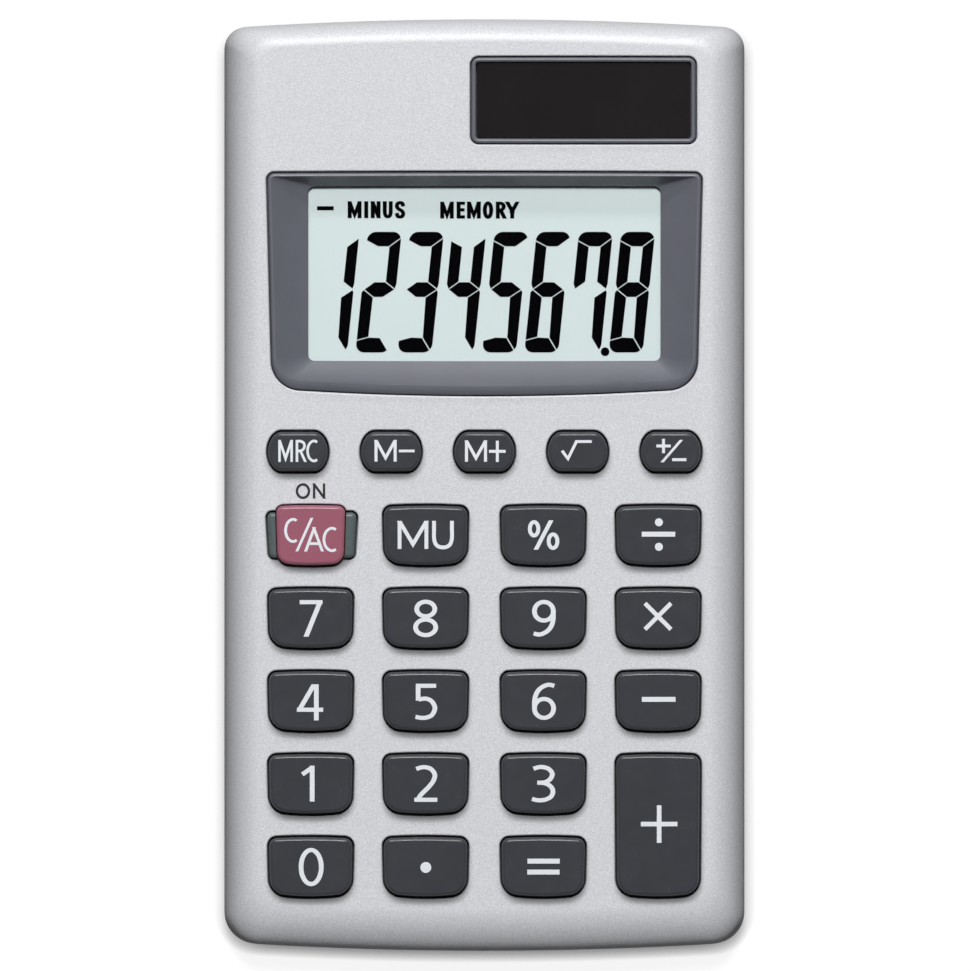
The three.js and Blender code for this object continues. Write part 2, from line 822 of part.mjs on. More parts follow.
function frontCaseSolid() {
  const whole = frontBody(0, rollDrop, partingHeight + seam);
  const cavity = frontBody(wall, rollDrop - faceThickness, partingHeight - overrun);
  const cellStop = cylinder(cellX, cellY, cellStopRadius, cellTop + contactThickness + seat, face);
  const standing = [...postSolids(), ...bossSolids(), cellStop];
  const envelope = frontBody(0, rollDrop, 0);
  const body = whole.subtract(cavity).add(joined(standing).intersect(envelope));
  return cut(body, [
    ...keys.map((key) => faceOpening(key.outline(key.gap))),
    faceOpening(bowedOutline(grown(guardSize, clearKeyGap))),
    faceOpening(bowedOutline(bezelSize)),
    faceOpening(bowedOutline(solarSize)),
    ...pilotHoles(),
  ]);
}

// Rear cover
function lipSolid() {
  const inner = rimOutline(lipDepth);
  const root = prism(rimOutline(wall - seat), partingHeight - lipRoot, partingHeight);
  const lip = prism(rimOutline(wall + lipClearance), partingHeight - lipRoot, partingHeight + lipRise);
  const hollow = prism(inner, partingHeight - lipRoot - overrun, partingHeight + lipRise + overrun);
  return root.add(lip).subtract(hollow);
}

function rimOutline(depth) {
  return caseOutline(depth, 0, backRolls);
}

function ribSolids() {
  const x = boardHalf - ribInset;
  const near = lastRowY - keyHeight / 2;
  const far = bezelTop - bezelMargin;
  return [-x, x].map((middle) =>
    block(
      middle - ribThickness / 2,
      middle + ribThickness / 2,
      near,
      far,
      floorThickness - seat,
      boardBottom - seat,
    ),
  );
}

function rearCoverSolid() {
  const tray = rearBody(0, backRise, partingHeight).subtract(
    rearBody(wall, backRise - floorThickness, partingHeight + overrun),
  );
  const bossClear = bossRadius + clearance;
  const bossWays = screwPlaces.map(([x, y]) =>
    cylinder(x, y, bossClear, screwSeat + cupRise, partingHeight + lipRise + overrun, postSides),
  );
  const cups = screwPlaces.map(([x, y]) =>
    cylinder(x, y, cupRadius, floorThickness / 2, screwSeat + cupRise, roundSides),
  );
  const envelope = rearBody(0, backRise, partingHeight);
  const headHoles = screwPlaces.map(([x, y]) =>
    cylinder(x, y, screwHeadRadius + clearance / 2, -overrun, screwSeat, roundSides),
  );
  const shankHoles = screwPlaces.map(([x, y]) =>
    cylinder(x, y, screwRadius + clearance / 2, 0, screwSeat + cupRise + overrun, postSides),
  );
  const panelBottom = firstRowY + panelHeight / 2;
  const panelSize = rectangle(0, panelWidth / 2, panelBottom, panelBottom + panelHeight, panelRadius);
  const panel = prism(bowedOutline(panelSize), -overrun, panelDepth);
  const body = tray.add(lipSolid()).subtract(joined(bossWays));
  const whole = body.add(joined(cups).intersect(envelope)).add(joined(ribSolids()));
  return cut(whole, [...headHoles, ...shankHoles, panel]);
}

// A round-headed screw with a cross recess, its head down
function screwSolid(x, y) {
  const tip = screwSeat + screwLength;
  const shank = turned(x, y, [
    [0, screwHeadSunk],
    [screwHeadRadius - screwHeadHeight / 3, screwHeadSunk],
    [screwHeadRadius, screwHeadSunk + screwHeadHeight / 3],
    [screwHeadRadius, screwSeat],
    [screwRadius, screwSeat],
    [screwRadius, tip - screwTip],
    [0, tip],
  ], postSides);
  const low = screwHeadSunk - overrun;
  const high = screwHeadSunk + screwRecess;
  const long = screwSlotLength / 2;
  const thin = screwSlotWidth / 2;
  return cut(solidOf(shank), [
    block(x - long, x + long, y - thin, y + thin, low, high),
    block(x - thin, x + thin, y - long, y + long, low, high),
  ]);
}

function addCase() {
  addPiece("front_case", frontCaseSolid(), "silverPaint");
  addPiece("rear_cover", rearCoverSolid(), "greyPlastic");
  screwPlaces.forEach(([x, y], index) => {
    addPiece(`case_screw_${index + 1}`, screwSolid(x, y), "steel");
  });
}

// Circuit board and rubber keypad
function boardOutline(top) {
  return bowedOutline({
    ...rectangle(0, boardHalf, -boardEnd, top, boardRadius, endBow),
    topSteps: caseSteps,
    bottomSteps: caseSteps,
  });
}

// The sides of the board stay clear of the case's bosses, whose cups stand beside it. The cell
// fills one corner, so the board ends round the cell there.
function boardSolid() {
  const low = boardBottom - overrun;
  const high = boardTop + overrun;
  const board = prism(boardOutline(boardEnd), boardBottom, boardTop);
  const postHoles = posts.map(([x, y]) => cylinder(x, y, postRadius + seat, low, high, postSides));
  const cutout = cylinder(cellX, cellY, cutoutRadius, low, high);
  const corner = block(-boardHalf - overrun, cellX, cellY, boardEnd + overrun, low, high);
  return cut(board, [...postHoles, cutout, corner]);
}

function domeSolid(x, y, base, top) {
  const height = top - sheetTop;
  return solidOf(
    turned(x, y, [
      [0, boardTop + sheetThickness / 2],
      [base, boardTop + sheetThickness / 2],
      [base, sheetTop],
      [domeNeckRadius, sheetTop + height / 2],
      [domeNeckRadius, top],
      [0, top],
    ], domeSides),
  );
}

function domeHollow(x, y, base, top) {
  return cylinder(
    x,
    y,
    base - domeWall,
    boardTop - overrun,
    top - domeHead,
    domeSides,
    domeNeckRadius - domeWall,
  );
}

function keypadSolid() {
  const sheet = prism(boardOutline(smallRowY + smallOpeningHeight / 2 + sheetMargin), boardTop, sheetTop);
  const places = keys.flatMap((key) => key.domes.map((y) => [key, y]));
  const domes = places.map(([key, y]) => domeSolid(key.x, y, domeBaseRadius, key.underside - seat));
  const hollows = places.map(([key, y]) => domeHollow(key.x, y, domeBaseRadius, key.underside - seat));
  const postHoles = posts.map(([x, y]) =>
    cylinder(x, y, postRadius + clearance, boardTop - overrun, sheetTop + overrun, postSides),
  );
  return cut(sheet.add(joined(domes)), [...hollows, ...postHoles]);
}

// A drop of black resin over the chip, under the board
function chipSolid() {
  const y = (windowSize.top + windowSize.bottom) / 2;
  return turned(0, y, [
    [0, boardBottom - chipHeight],
    [chipRadius / 2, boardBottom - chipHeight + chipEdge / 4],
    [chipRadius - chipEdge, boardBottom - chipEdge],
    [chipRadius, boardBottom],
    [0, boardBottom],
  ]);
}

function canSolid(x, y) {
  return turned(x, y, [
    [0, boardTop],
    [canRadius, boardTop],
    [canRadius, boardTop + canHeight - canCrimp],
    [canRadius - canCrimp, boardTop + canHeight],
    [0, boardTop + canHeight],
  ]);
}

function addElectronics() {
  addPiece("circuit_board", boardSolid(), "board");
  addPiece("rubber_keypad", keypadSolid(), "rubber");
  addPiece("chip_cover", chipSolid(), "resin");
  addPiece("solar_capacitor", canSolid(solarX, cellY), "resin");
  const rowY = (windowSize.top + windowSize.bottom) / 2 - chipPartMargin;
  ["display_capacitor", "timing_resistor", "limiter_diode"].forEach((name, index) => {
    const x = (index - 1) * (chipPartLength + chipPartPitch);
    addPiece(
      name,
      block(
        x - chipPartLength / 2,
        x + chipPartLength / 2,
        rowY - chipPartWidth / 2,
        rowY + chipPartWidth / 2,
        boardTop,
        boardTop + chipPartHeight,
      ),
      "ceramic",
    );
  });
}

// Button cell, its can up and its smaller cap down, and the two leaf contacts
function contactSolid(profile, turn) {
  const shape = new THREE.Shape(profile.map(([x, z]) => new THREE.Vector2(x, z)));
  const strip = new THREE.ExtrudeGeometry(shape, { depth: contactWidth, bevelEnabled: false });
  return strip
    .rotateX(Math.PI / 2)
    .translate(0, contactWidth / 2, 0)
    .rotateZ(turn)
    .translate(cellX, cellY, 0);
}

function addButtonCell() {
  const leg = cutoutRadius + seat;
  const foot = leg + contactFoot;
  const thick = contactThickness;
  const battery = turned(cellX, cellY, [
    [0, cellBottom],
    [cellCapRadius, cellBottom],
    [cellCapRadius, cellBottom + cellCapHeight],
    [cellRadius, cellBottom + cellCapHeight + cellShoulder],
    [cellRadius, cellTop],
    [0, cellTop],
  ]);
  const upper = [
    [0, cellTop],
    [leg, cellTop],
    [leg, boardTop],
    [foot, boardTop],
    [foot, boardTop + thick],
    [leg + thick, boardTop + thick],
    [leg + thick, cellTop + thick],
    [0, cellTop + thick],
  ];
  const lower = [
    [0, cellBottom - thick],
    [leg + thick, cellBottom - thick],
    [leg + thick, boardBottom - thick],
    [foot, boardBottom - thick],
    [foot, boardBottom],
    [leg, boardBottom],
    [leg, cellBottom],
    [0, cellBottom],
  ];
  addPiece("battery", battery, "steel");
  addPiece("battery_contact_positive", contactSolid(upper, 0), "steel");
  addPiece("battery_contact_negative", contactSolid(lower, -Math.PI / 2), "steel");
}

addCase();
keys.forEach((key) => addPiece(key.name, keySolid(key), key.finish));
addPiece("clear_key_guard", guardSolid(), "guardPlastic");
addDisplay();
addSolarCell();
addElectronics();
addButtonCell();

export default calculator;
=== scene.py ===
import json
import math

import bpy
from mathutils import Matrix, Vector


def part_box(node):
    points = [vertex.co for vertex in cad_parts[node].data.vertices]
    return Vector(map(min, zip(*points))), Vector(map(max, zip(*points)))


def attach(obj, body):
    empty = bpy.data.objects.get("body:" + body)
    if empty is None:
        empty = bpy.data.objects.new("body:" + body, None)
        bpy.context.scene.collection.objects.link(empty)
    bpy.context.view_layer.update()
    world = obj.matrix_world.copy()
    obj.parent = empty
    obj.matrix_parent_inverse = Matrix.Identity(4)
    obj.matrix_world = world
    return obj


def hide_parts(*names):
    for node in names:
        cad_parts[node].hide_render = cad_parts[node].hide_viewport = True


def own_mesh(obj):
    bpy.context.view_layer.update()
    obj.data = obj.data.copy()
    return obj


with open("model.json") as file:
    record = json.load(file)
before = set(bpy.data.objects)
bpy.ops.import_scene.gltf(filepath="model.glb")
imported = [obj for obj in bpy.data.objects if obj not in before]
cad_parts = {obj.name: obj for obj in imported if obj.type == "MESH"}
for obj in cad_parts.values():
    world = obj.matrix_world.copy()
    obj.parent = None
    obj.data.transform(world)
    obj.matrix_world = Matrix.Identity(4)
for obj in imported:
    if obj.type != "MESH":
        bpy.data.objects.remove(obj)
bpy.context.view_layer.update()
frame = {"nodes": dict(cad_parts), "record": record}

MM = 0.001

# The photograph: pixels in a millimetre, and the pixel at the middle of the case
PHOTO_SCALE = 9.13
PHOTO_MIDDLE = (484.4, 485)
PHOTO_SIZE = (970, 971)

# Steps along the curves
CORNER_STEPS = 12
SHORT_STEPS = 2
BOW_STEPS = 16
BARREL_STEPS = 28
ROLL_STEPS = 20
EDGE_STEPS = 6
KEY_BEVEL_STEPS = 8
ROUND_STEPS = 48
STROKE_STEPS = 6
RING_STEPS = 48

QUARTER = math.pi / 2
SMOOTH_ANGLE = math.radians(24)
LARGEST_WEIGHT = 100  # the large faces set the shading of the round edges beside them
STRAIGHT_BOW = 4000  # the bow radius of an edge that looks straight
SMALLEST_RADIUS = 0.15
SHARPEST_CORNER = 0.3  # limits how far the outside of a stroke's corner reaches
SAME_PLACE = 1e-6
OVERRUN = 1  # how far a cutter passes the face that it opens

# The case
TOP_CORNER_RADIUS = 2.4
BOTTOM_CORNER_RADIUS = 3.5
END_BOW = 420
WALL = 1.3
FACE_THICKNESS = 1.3
# The rolled edges of the face: how wide each is, and how far down it reaches
ROLLS = {"side": (3.9, 6.6), "top": (2.6, 4.3), "bottom": (4.6, 3.3)}
# The upper end's roll is tighter, and runs out into the face over a last gentle stretch
TIGHT_ROLL = 1.95
GENTLE_WIDTH = 0.85
GENTLE_DROP = 0.12
GENTLE_START = 0.0845
BACK_ROLL = 1.4
BACK_RISE = 1.6
FLOOR_THICKNESS = 1.2
SEAM_ROUND = 0.12
SEAM_GAP = 0.15
SHOULDER_DROP = 3.8  # how far below the face the rounded ceiling inside begins
OPENING_EDGE = 0.2
LIP_CLEARANCE = 0.15
LIP_THICKNESS = 0.6
LIP_ROOT = 1.2
SEAT = 0.1
PANEL = {"half": 15, "bottom": 3.03, "top": 20.03, "depth": 0.25, "radius": 1.2}

# Keys
KEY_FLANGE = 0.6
KEY_FLANGE_THICKNESS = 0.6
KEY_GAP = 0.2
KEY_BEVEL_WIDTH = 0.38
KEY_BEVEL_DROP = 0.4
KEY_BEVEL_TURN = math.radians(80)
LARGE_KEY = {"top_radius": 0.85, "bottom_radius": 1.78, "top_bow": 70, "bottom_bow": 27, "lean": 0.09}
CLEAR_KEY = {"top_radius": 0.8, "bottom_radius": 1.35, "top_bow": 70, "bottom_bow": 26, "lean": 0.12}
CLEAR_KEY_GAP = 0.12
SMALL_KEY_END = 1.5
SMALL_KEYS = (
    "key_memory_recall",
    "key_memory_minus",
    "key_memory_plus",
    "key_square_root",
    "key_sign_change",
)
PRINT_THICKNESS = 0.02

# The rubber keypad
KEYPAD_SHEET = 0.7
KEYPAD_RADIUS = 1
DOME_BASE = 2.2
DOME_NECK = 1.5
DOME_WALL = 0.45
DOME_HEAD = 0.9
DOME_EDGE = 0.2
PLUS_ROWS = ("key_3", "key_equals")

# The clear key's guard
GUARD_HEIGHT = 5
GUARD_RIM = 0.5
GUARD_PLATE = 0.6
GUARD_RADIUS = 0.55
GUARD_EDGE = 0.45
GUARD_LEAN = 0.24
GUARD_GAP = 0.18
GUARD_SHIFT = 0.12  # the left ear is a little narrower than the right one

# The display's bezel
BEZEL_FLANGE = 0.8
BEZEL_FLANGE_THICKNESS = 0.6
BEZEL_GAP = 0.12
BEZEL_EDGE = 0.35
BEZEL_LOWER_EDGE = 0.95
BEZEL_RIM = 0.05
BEZEL = {"top_radius": 0.9, "bottom_radius": 3.3, "top_bow": STRAIGHT_BOW, "bottom_bow": 330, "lean": 0.5}
WINDOW_DEPTH = 1.9
SLOPE_STEPS = 10
SLOPE_CURVE = -0.3
FOOT_STEP = 0.4  # the last step of the slope, as a share of the others
FOOT_DROP = 0.02
WINDOW_RADIUS = 0.7
GLASS_OVERLAP = 1.4
GLASS_LEDGE = 1.7
SKIRT_THICKNESS = 0.8

# The solar cell's frame
SOLAR_FLANGE = 0.4
SOLAR_FLANGE_THICKNESS = 0.6
SOLAR_GAP = 0.12
SOLAR_FRAME_WIDTH = 0.65
SOLAR_RADIUS = 0.95
SOLAR_EDGE = 0.26
SOLAR_LEDGE = 0.5
SOLAR_DROP = 0.17  # how much nearer to the keys the frame and its window are than the cell

# Screws
SCREW_HEAD_SUNK = 0.6
SCREW_HEAD_RADIUS = 1.4
SCREW_HEAD_HEIGHT = 0.9
SCREW_HEAD_EDGE = 0.25
SCREW_RADIUS = 0.8
SCREW_TIP = 0.7
SCREW_POINT = 0.2
SCREW_RECESS = 0.45
SCREW_SLOT_WIDTH = 0.35
SCREW_SLOT_LENGTH = 1.5
SCREW_HOLE_CLEARANCE = 0.15
BOSS_RADIUS = 1.5
CUP_RADIUS = 2.3
CUP_RISE = 1


def node_box(node):
    low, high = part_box(node)
    return low / MM, high / MM


def photo_place(across, down):
    """The place in the frame of a pixel of the photograph."""
    x = (across - PHOTO_MIDDLE[0]) / PHOTO_SCALE
    y = (PHOTO_MIDDLE[1] - down) / PHOTO_SCALE
    return x, y


# Outlines: lists of points, anticlockwise

def even_steps(end, count):
    """Numbers from 0 to an end, in even steps."""
    return [end * step / count for step in range(count + 1)]


def arc(x, y, radius, start, end, steps, height=None):
    """Points on a round arc, or on an elliptical one where a height is given."""
    tall = radius if height is None else height
    angles = [start + turn for turn in even_steps(end - start, steps)]
    return [(x + radius * math.cos(a), y + tall * math.sin(a)) for a in angles]


def bowed_end(half, radius, bow):
    """An outline's upper end, from its right side to its left one, its highest point at 0."""
    x = half - radius
    y = math.sqrt((bow - radius) ** 2 - x**2) - bow
    tilt = math.asin(x / (bow - radius))
    right = arc(x, y, radius, 0, QUARTER - tilt, CORNER_STEPS)
    middle = arc(0, -bow, bow, QUARTER - tilt, QUARTER + tilt, BOW_STEPS)
    left = arc(-x, y, radius, QUARTER + tilt, 2 * QUARTER, CORNER_STEPS)
    return right + middle[1:-1] + left


def bowed(size, distance=0):
    """An outline with rounded corners and bowed ends, moved outward by a distance."""
    size = grown(size, distance)
    upper = bowed_end(size["half"], size["top_radius"], size["top_bow"])
    lower = bowed_end(size["half"] - size["lean"], size["bottom_radius"], size["bottom_bow"])
    x = size["x"]
    above = [(x + px, size["top"] + py) for px, py in upper]
    below = [(x - px, size["bottom"] - py) for px, py in lower]
    return above + below


def rectangle(x, half, bottom, top, radius, bow=STRAIGHT_BOW):
    """The size of an outline round a middle line at x."""
    size = {"x": x, "half": half, "bottom": bottom, "top": top, "lean": 0}
    return {**size, "top_radius": radius, "bottom_radius": radius, "top_bow": bow, "bottom_bow": bow}


def around(node, margin=0, radius=0):
    """A rectangle at a margin round a node's box, or inside it where the margin is negative."""
    low, high = node_box(node)
    half = (high.x - low.x) / 2 + margin
    return rectangle((low.x + high.x) / 2, half, low.y - margin, high.y + margin, radius)


def grown(size, distance):
    """The same outline moved outward, or inward by a negative distance."""
    moved = dict(size)
    for name in ("half", "top", "top_radius", "bottom_radius", "top_bow", "bottom_bow", "end"):
        if name in size:
            moved[name] += distance
    moved["bottom"] -= distance
    for name in ("top_radius", "bottom_radius"):
        moved[name] = max(moved[name], SMALLEST_RADIUS)
    return moved


def shifted(size, distance):
    """The same outline, nearer to the display end by a distance."""
    return {**size, "bottom": size["bottom"] + distance, "top": size["top"] + distance}


def barrel(size, distance=0):
    """Straight long sides, and half ellipses as ends, moved outward by a distance."""
    size = grown(size, distance)
    tall = (size["top"] - size["bottom"]) / 2
    y = size["bottom"] + tall
    end = size["end"]
    reach = size["half"] - end
    right = arc(size["x"] + reach, y, end, -QUARTER, QUARTER, BARREL_STEPS, tall)
    left = arc(size["x"] - reach, y, end, QUARTER, 3 * QUARTER, BARREL_STEPS, tall)
    return right + left


# Meshes: lists of points and of faces, turned into Blender's own at the end

def swept(sections, ring=False):
    """A closed mesh through sections with as many points each, or round a ring of them."""
    count = len(sections[0])
    points = [point for section in sections for point in section]
    faces = []
    for number in range(len(sections) if ring else len(sections) - 1):
        here = number * count
        there = (number + 1) % len(sections) * count
        for i in range(count):
            j = (i + 1) % count
            faces.append((here + i, here + j, there + j, there + i))
    if not ring:
        faces.append(tuple(range(count - 1, -1, -1)))
        faces.append(tuple(range(len(points) - count, len(points))))
    return mesh_of(points, faces)


def loft(levels, ring=False):
    """A closed mesh through level outlines, from the lowest up, or round a ring of them."""
    return swept([[(x, y, z) for x, y in outline] for outline, z in levels], ring)


def mesh_of(points, faces):
    mesh = bpy.data.meshes.new("mesh")
    mesh.from_pydata([(x * MM, y * MM, z * MM) for x, y, z in points], [], faces)
    mesh.update()
    return mesh


def prism(outline, bottom, top):
    return loft([(outline, bottom), (outline, top)])


def circle(x, y, radius):
    return arc(x, y, radius, 0, 4 * QUARTER, ROUND_STEPS)[:-1]


def cylinder(x, y, radius, bottom, top):
    return prism(circle(x, y, radius), bottom, top)


def block(left, right, near, far, bottom, top):
    return prism([(left, near), (right, near), (right, far), (left, far)], bottom, top)


def turned(x, y, profile):
    """A body on an upright axis, from the radius and height of each level."""
    return loft([(circle(x, y, radius), z) for radius, z in profile])


def new_object(name, data):
    thing = bpy.data.objects.new(name, data)
    bpy.context.scene.collection.objects.link(thing)
    return thing


def combined(mesh, others, operation):
    """The mesh joined with others, or cut by them."""
    holder = new_object("holder", mesh)
    made = [holder]
    for other in others:
        tool = new_object("tool", other)
        made.append(tool)
        modifier = holder.modifiers.new("combine", "BOOLEAN")
        modifier.operation = operation
        modifier.object = tool
        modifier.solver = "MANIFOLD"
    graph = bpy.context.evaluated_depsgraph_get()
    result = bpy.data.meshes.new_from_object(holder.evaluated_get(graph))
    for thing in made:
        bpy.data.objects.remove(thing)
    return result


def joined(meshes):
    return combined(meshes[0], meshes[1:], "UNION") if len(meshes) > 1 else meshes[0]


def cut(mesh, tools):
    return combined(mesh, tools, "DIFFERENCE")


def quarter_round(radius):
    """Inward distance and drop along a rounded edge, from its side up to its top."""
    turns = even_steps(QUARTER, EDGE_STEPS)
    return [(radius * (1 - math.cos(a)), radius * (1 - math.sin(a))) for a in turns]


def opening(outline_at, bottom, face):
    """A cutter that leaves a small round along the edge that it cuts in a face."""
    flared = [(outline_at(inward), face - drop) for inward, drop in quarter_round(OPENING_EDGE)]
    widest = outline_at(OPENING_EDGE)
    return loft([(outline_at(0), bottom), *flared, (widest, face + OVERRUN)])


# Finishes: each is a shader of nodes, with its own grain

# Silver paint, where a range is the part of a noise that is spread out
PAINT = (211, 212, 216)
PAINT_CONTRAST = 0.1
PAINT_GRAIN = 0.17
GRAIN_RANGE = (0.35, 0.65)
# The flakes' near-white, a painted glint colour
FLAKE_GLINT = (250, 250, 252)
FLAKE_SIZE = 0.11
FLAKE_SHARE = 0.6
FLAKE_RANGE = (0.6, 0.76)
PAINT_SMEAR = 0.16
PAINT_ROUGHNESS = (0.38, 0.46)
PAINT_BUMP_SIZE = 0.22
PAINT_BUMP_DEPTH = 0.004
PAINT_METAL = 0.07
# Its painted shade close to raised pieces, a shadow painted into its colour: the share of the paint's
# brightness that is left, how far the shade reaches, and the way to the light
KEY_SHADE = 0.24
KEY_SHADE_REACH = 1.1
KEY_SHADE_RANGE = (0.4, 0.78)
SHADE_FROM = (-0.08, 0.75, 0.6)
SHADE_SAMPLES = 6
# Clear sheets
SLANT_POWER = 5
SLANT_MIRROR = 0.6  # the share that is mirrored at the flattest slant
EVEN_BLEND = 0.5
SHEET_SMEAR = 3
SHEET_ROUGHNESS = (0.1, 0.12)
# Where a mixing node has its share, its two colours and its result
MIX_SHARE = 0
MIX_FIRST = 6
MIX_SECOND = 7
MIX_RESULT = 2
# The sizes of the smears and of the mottle, in grains, and how far the roughness varies
SMEAR_SCALE = 6
MOTTLE_SCALE = 25
POLISH_RANGE = 0.04


def linear(level):
    share = level / 255
    return share / 12.92 if share <= 0.04045 else ((share + 0.055) / 1.055) ** 2.4


def tint(color, factor=1):
    """A colour as it is written on a screen, made lighter or darker by a factor."""
    return (*(min(linear(level) * factor, 1) for level in color), 1)


def new_material(name):
    material = bpy.data.materials.new(name)
    material.use_nodes = True
    material.node_tree.nodes.clear()
    return material


def add(material, kind, inputs=None, **settings):
    """A shader node with its settings and its inputs: each a value, or another node's output."""
    node = material.node_tree.nodes.new(f"ShaderNode{kind}")
    for setting, value in settings.items():
        setattr(node, setting, value)
    for key, value in (inputs or {}).items():
        if isinstance(value, bpy.types.NodeSocket):
            material.node_tree.links.new(value, node.inputs[key])
        else:
            node.inputs[key].default_value = value
    return node


def noise(material, size, detail=3):
    """Noise with grains of a size in millimetres."""
    places = add(material, "TexCoord").outputs["Object"]
    inputs = {"Vector": places, "Scale": 1 / (size * MM), "Detail": detail}
    return add(material, "TexNoise", inputs).outputs["Fac"]


def spread(material, value, low, high, near=0.3, far=0.7):
    """A value between near and far, spread from low to high."""
    inputs = {"Value": value, "From Min": near, "From Max": far, "To Min": low, "To Max": high}
    return add(material, "MapRange", inputs).outputs["Result"]


def mottled(material, color, contrast, size, near=0.3, far=0.7):
    """A colour that varies a little from place to place."""
    share = spread(material, noise(material, size), 0, 1, near, far)
    return blended(material, share, tint(color, 1 - contrast), tint(color, 1 + contrast))


def blended(material, share, first, second):
    """Two colours mixed by a share of the second."""
    inputs = {MIX_SHARE: share, MIX_FIRST: first, MIX_SECOND: second}
    return add(material, "Mix", inputs, data_type="RGBA").outputs[MIX_RESULT]


def bumped(material, size, depth):
    inputs = {"Height": noise(material, size, detail=2), "Distance": depth * MM}
    return add(material, "Bump", inputs).outputs["Normal"]


def grey(level):
    return (level, level, level, 1)


def mix_shaders(material, share, first, second):
    """Two shaders mixed by a share of the second."""
    return add(material, "MixShader", {0: share, 1: first.outputs[0], 2: second.outputs[0]})


def seen_share(material):
    """1 where the camera looks, straight or through a mirror or a clear sheet, and 0 for light."""
    rays = add(material, "LightPath").outputs
    share = rays["Is Camera Ray"]
    for ray in ("Is Glossy Ray", "Is Transmission Ray"):
        share = add(material, "Math", {0: share, 1: rays[ray]}, operation="MAXIMUM").outputs[0]
    return share


def painted_shade_mask(material, reach):
    """How free of near pieces the side towards the display end is, from 0 to 1: the mask of the painted
    shade on the paint and of the painted shadow on the floor.
    """
    toward = add(material, "CombineXYZ", dict(enumerate(SHADE_FROM))).outputs[0]
    near = {"Distance": reach * MM, "Normal": toward}
    return add(material, "AmbientOcclusion", near, samples=SHADE_SAMPLES).outputs["AO"]


def finished(material, shader):
    add(material, "OutputMaterial", {"Surface": shader.outputs[0]})
    return material


def surface(material, color, roughness, bump, metal, gloss):
    """The surface of a piece that light doesn't pass."""
    inputs = {
        "Base Color": color,
        "Roughness": roughness,
        "Normal": bump,
        "Metallic": metal,
        "Specular IOR Level": gloss,
    }
    return finished(material, add(material, "BsdfPrincipled", inputs))


def moulded(name, color, roughness, gloss=0.5, grain=0.12, depth=0.002, contrast=0.04, metal=0):
    """Moulded plastic, rubber, resin or metal: a fine grain, and a colour that varies a little."""
    material = new_material(name)
    smears = noise(material, grain * SMEAR_SCALE)
    polish = spread(material, smears, roughness - POLISH_RANGE, roughness + POLISH_RANGE)
    mottle = mottled(material, color, contrast, grain * MOTTLE_SCALE)
    return surface(material, mottle, polish, bumped(material, grain, depth), metal, gloss)


def silver_paint(name):
    """Paint with fine metal flakes, over the moulded grain of the case, with painted glints on its flakes
    and a painted shade beside raised pieces.
    """
    material = new_material(name)
    grain = mottled(material, PAINT, PAINT_CONTRAST, PAINT_GRAIN, *GRAIN_RANGE)
    # Painted glints: the metal flakes are real, and drawn near-white in the colour they stand in for
    # their sparkle
    painted_glints = spread(material, noise(material, FLAKE_SIZE, detail=1), 0, FLAKE_SHARE, *FLAKE_RANGE)
    flakes = blended(material, painted_glints, grain, tint(FLAKE_GLINT))
    # Painted shade: the colour darkens towards KEY_SHADE of the paint close to raised pieces on the
    # lamps' side
    light = spread(material, painted_shade_mask(material, KEY_SHADE_REACH), 0, 1, *KEY_SHADE_RANGE)
    shaded = blended(material, light, tint(PAINT, KEY_SHADE), flakes)
    polish = spread(material, noise(material, PAINT_SMEAR), *PAINT_ROUGHNESS)
    bump = bumped(material, PAINT_BUMP_SIZE, PAINT_BUMP_DEPTH)
    return surface(material, shaded, polish, bump, PAINT_METAL, gloss=0)


def clear_sheet(name, color, mirrored):
    """A clear sheet: it lets light through, and mirrors a share of it, more at a slant."""
    material = new_material(name)
    through = add(material, "BsdfTransparent", {"Color": tint(color)})
    polish = spread(material, noise(material, SHEET_SMEAR), *SHEET_ROUGHNESS)
    mirror = add(material, "BsdfGlossy", {"Roughness": polish})
    slant = add(material, "LayerWeight", {"Blend": EVEN_BLEND}).outputs["Facing"]
    steep = add(material, "Math", {0: slant, 1: SLANT_POWER}, operation="POWER").outputs[0]
    share = spread(material, steep, mirrored, SLANT_MIRROR, 0, 1)
    return finished(material, mix_shaders(material, share, through, mirror))


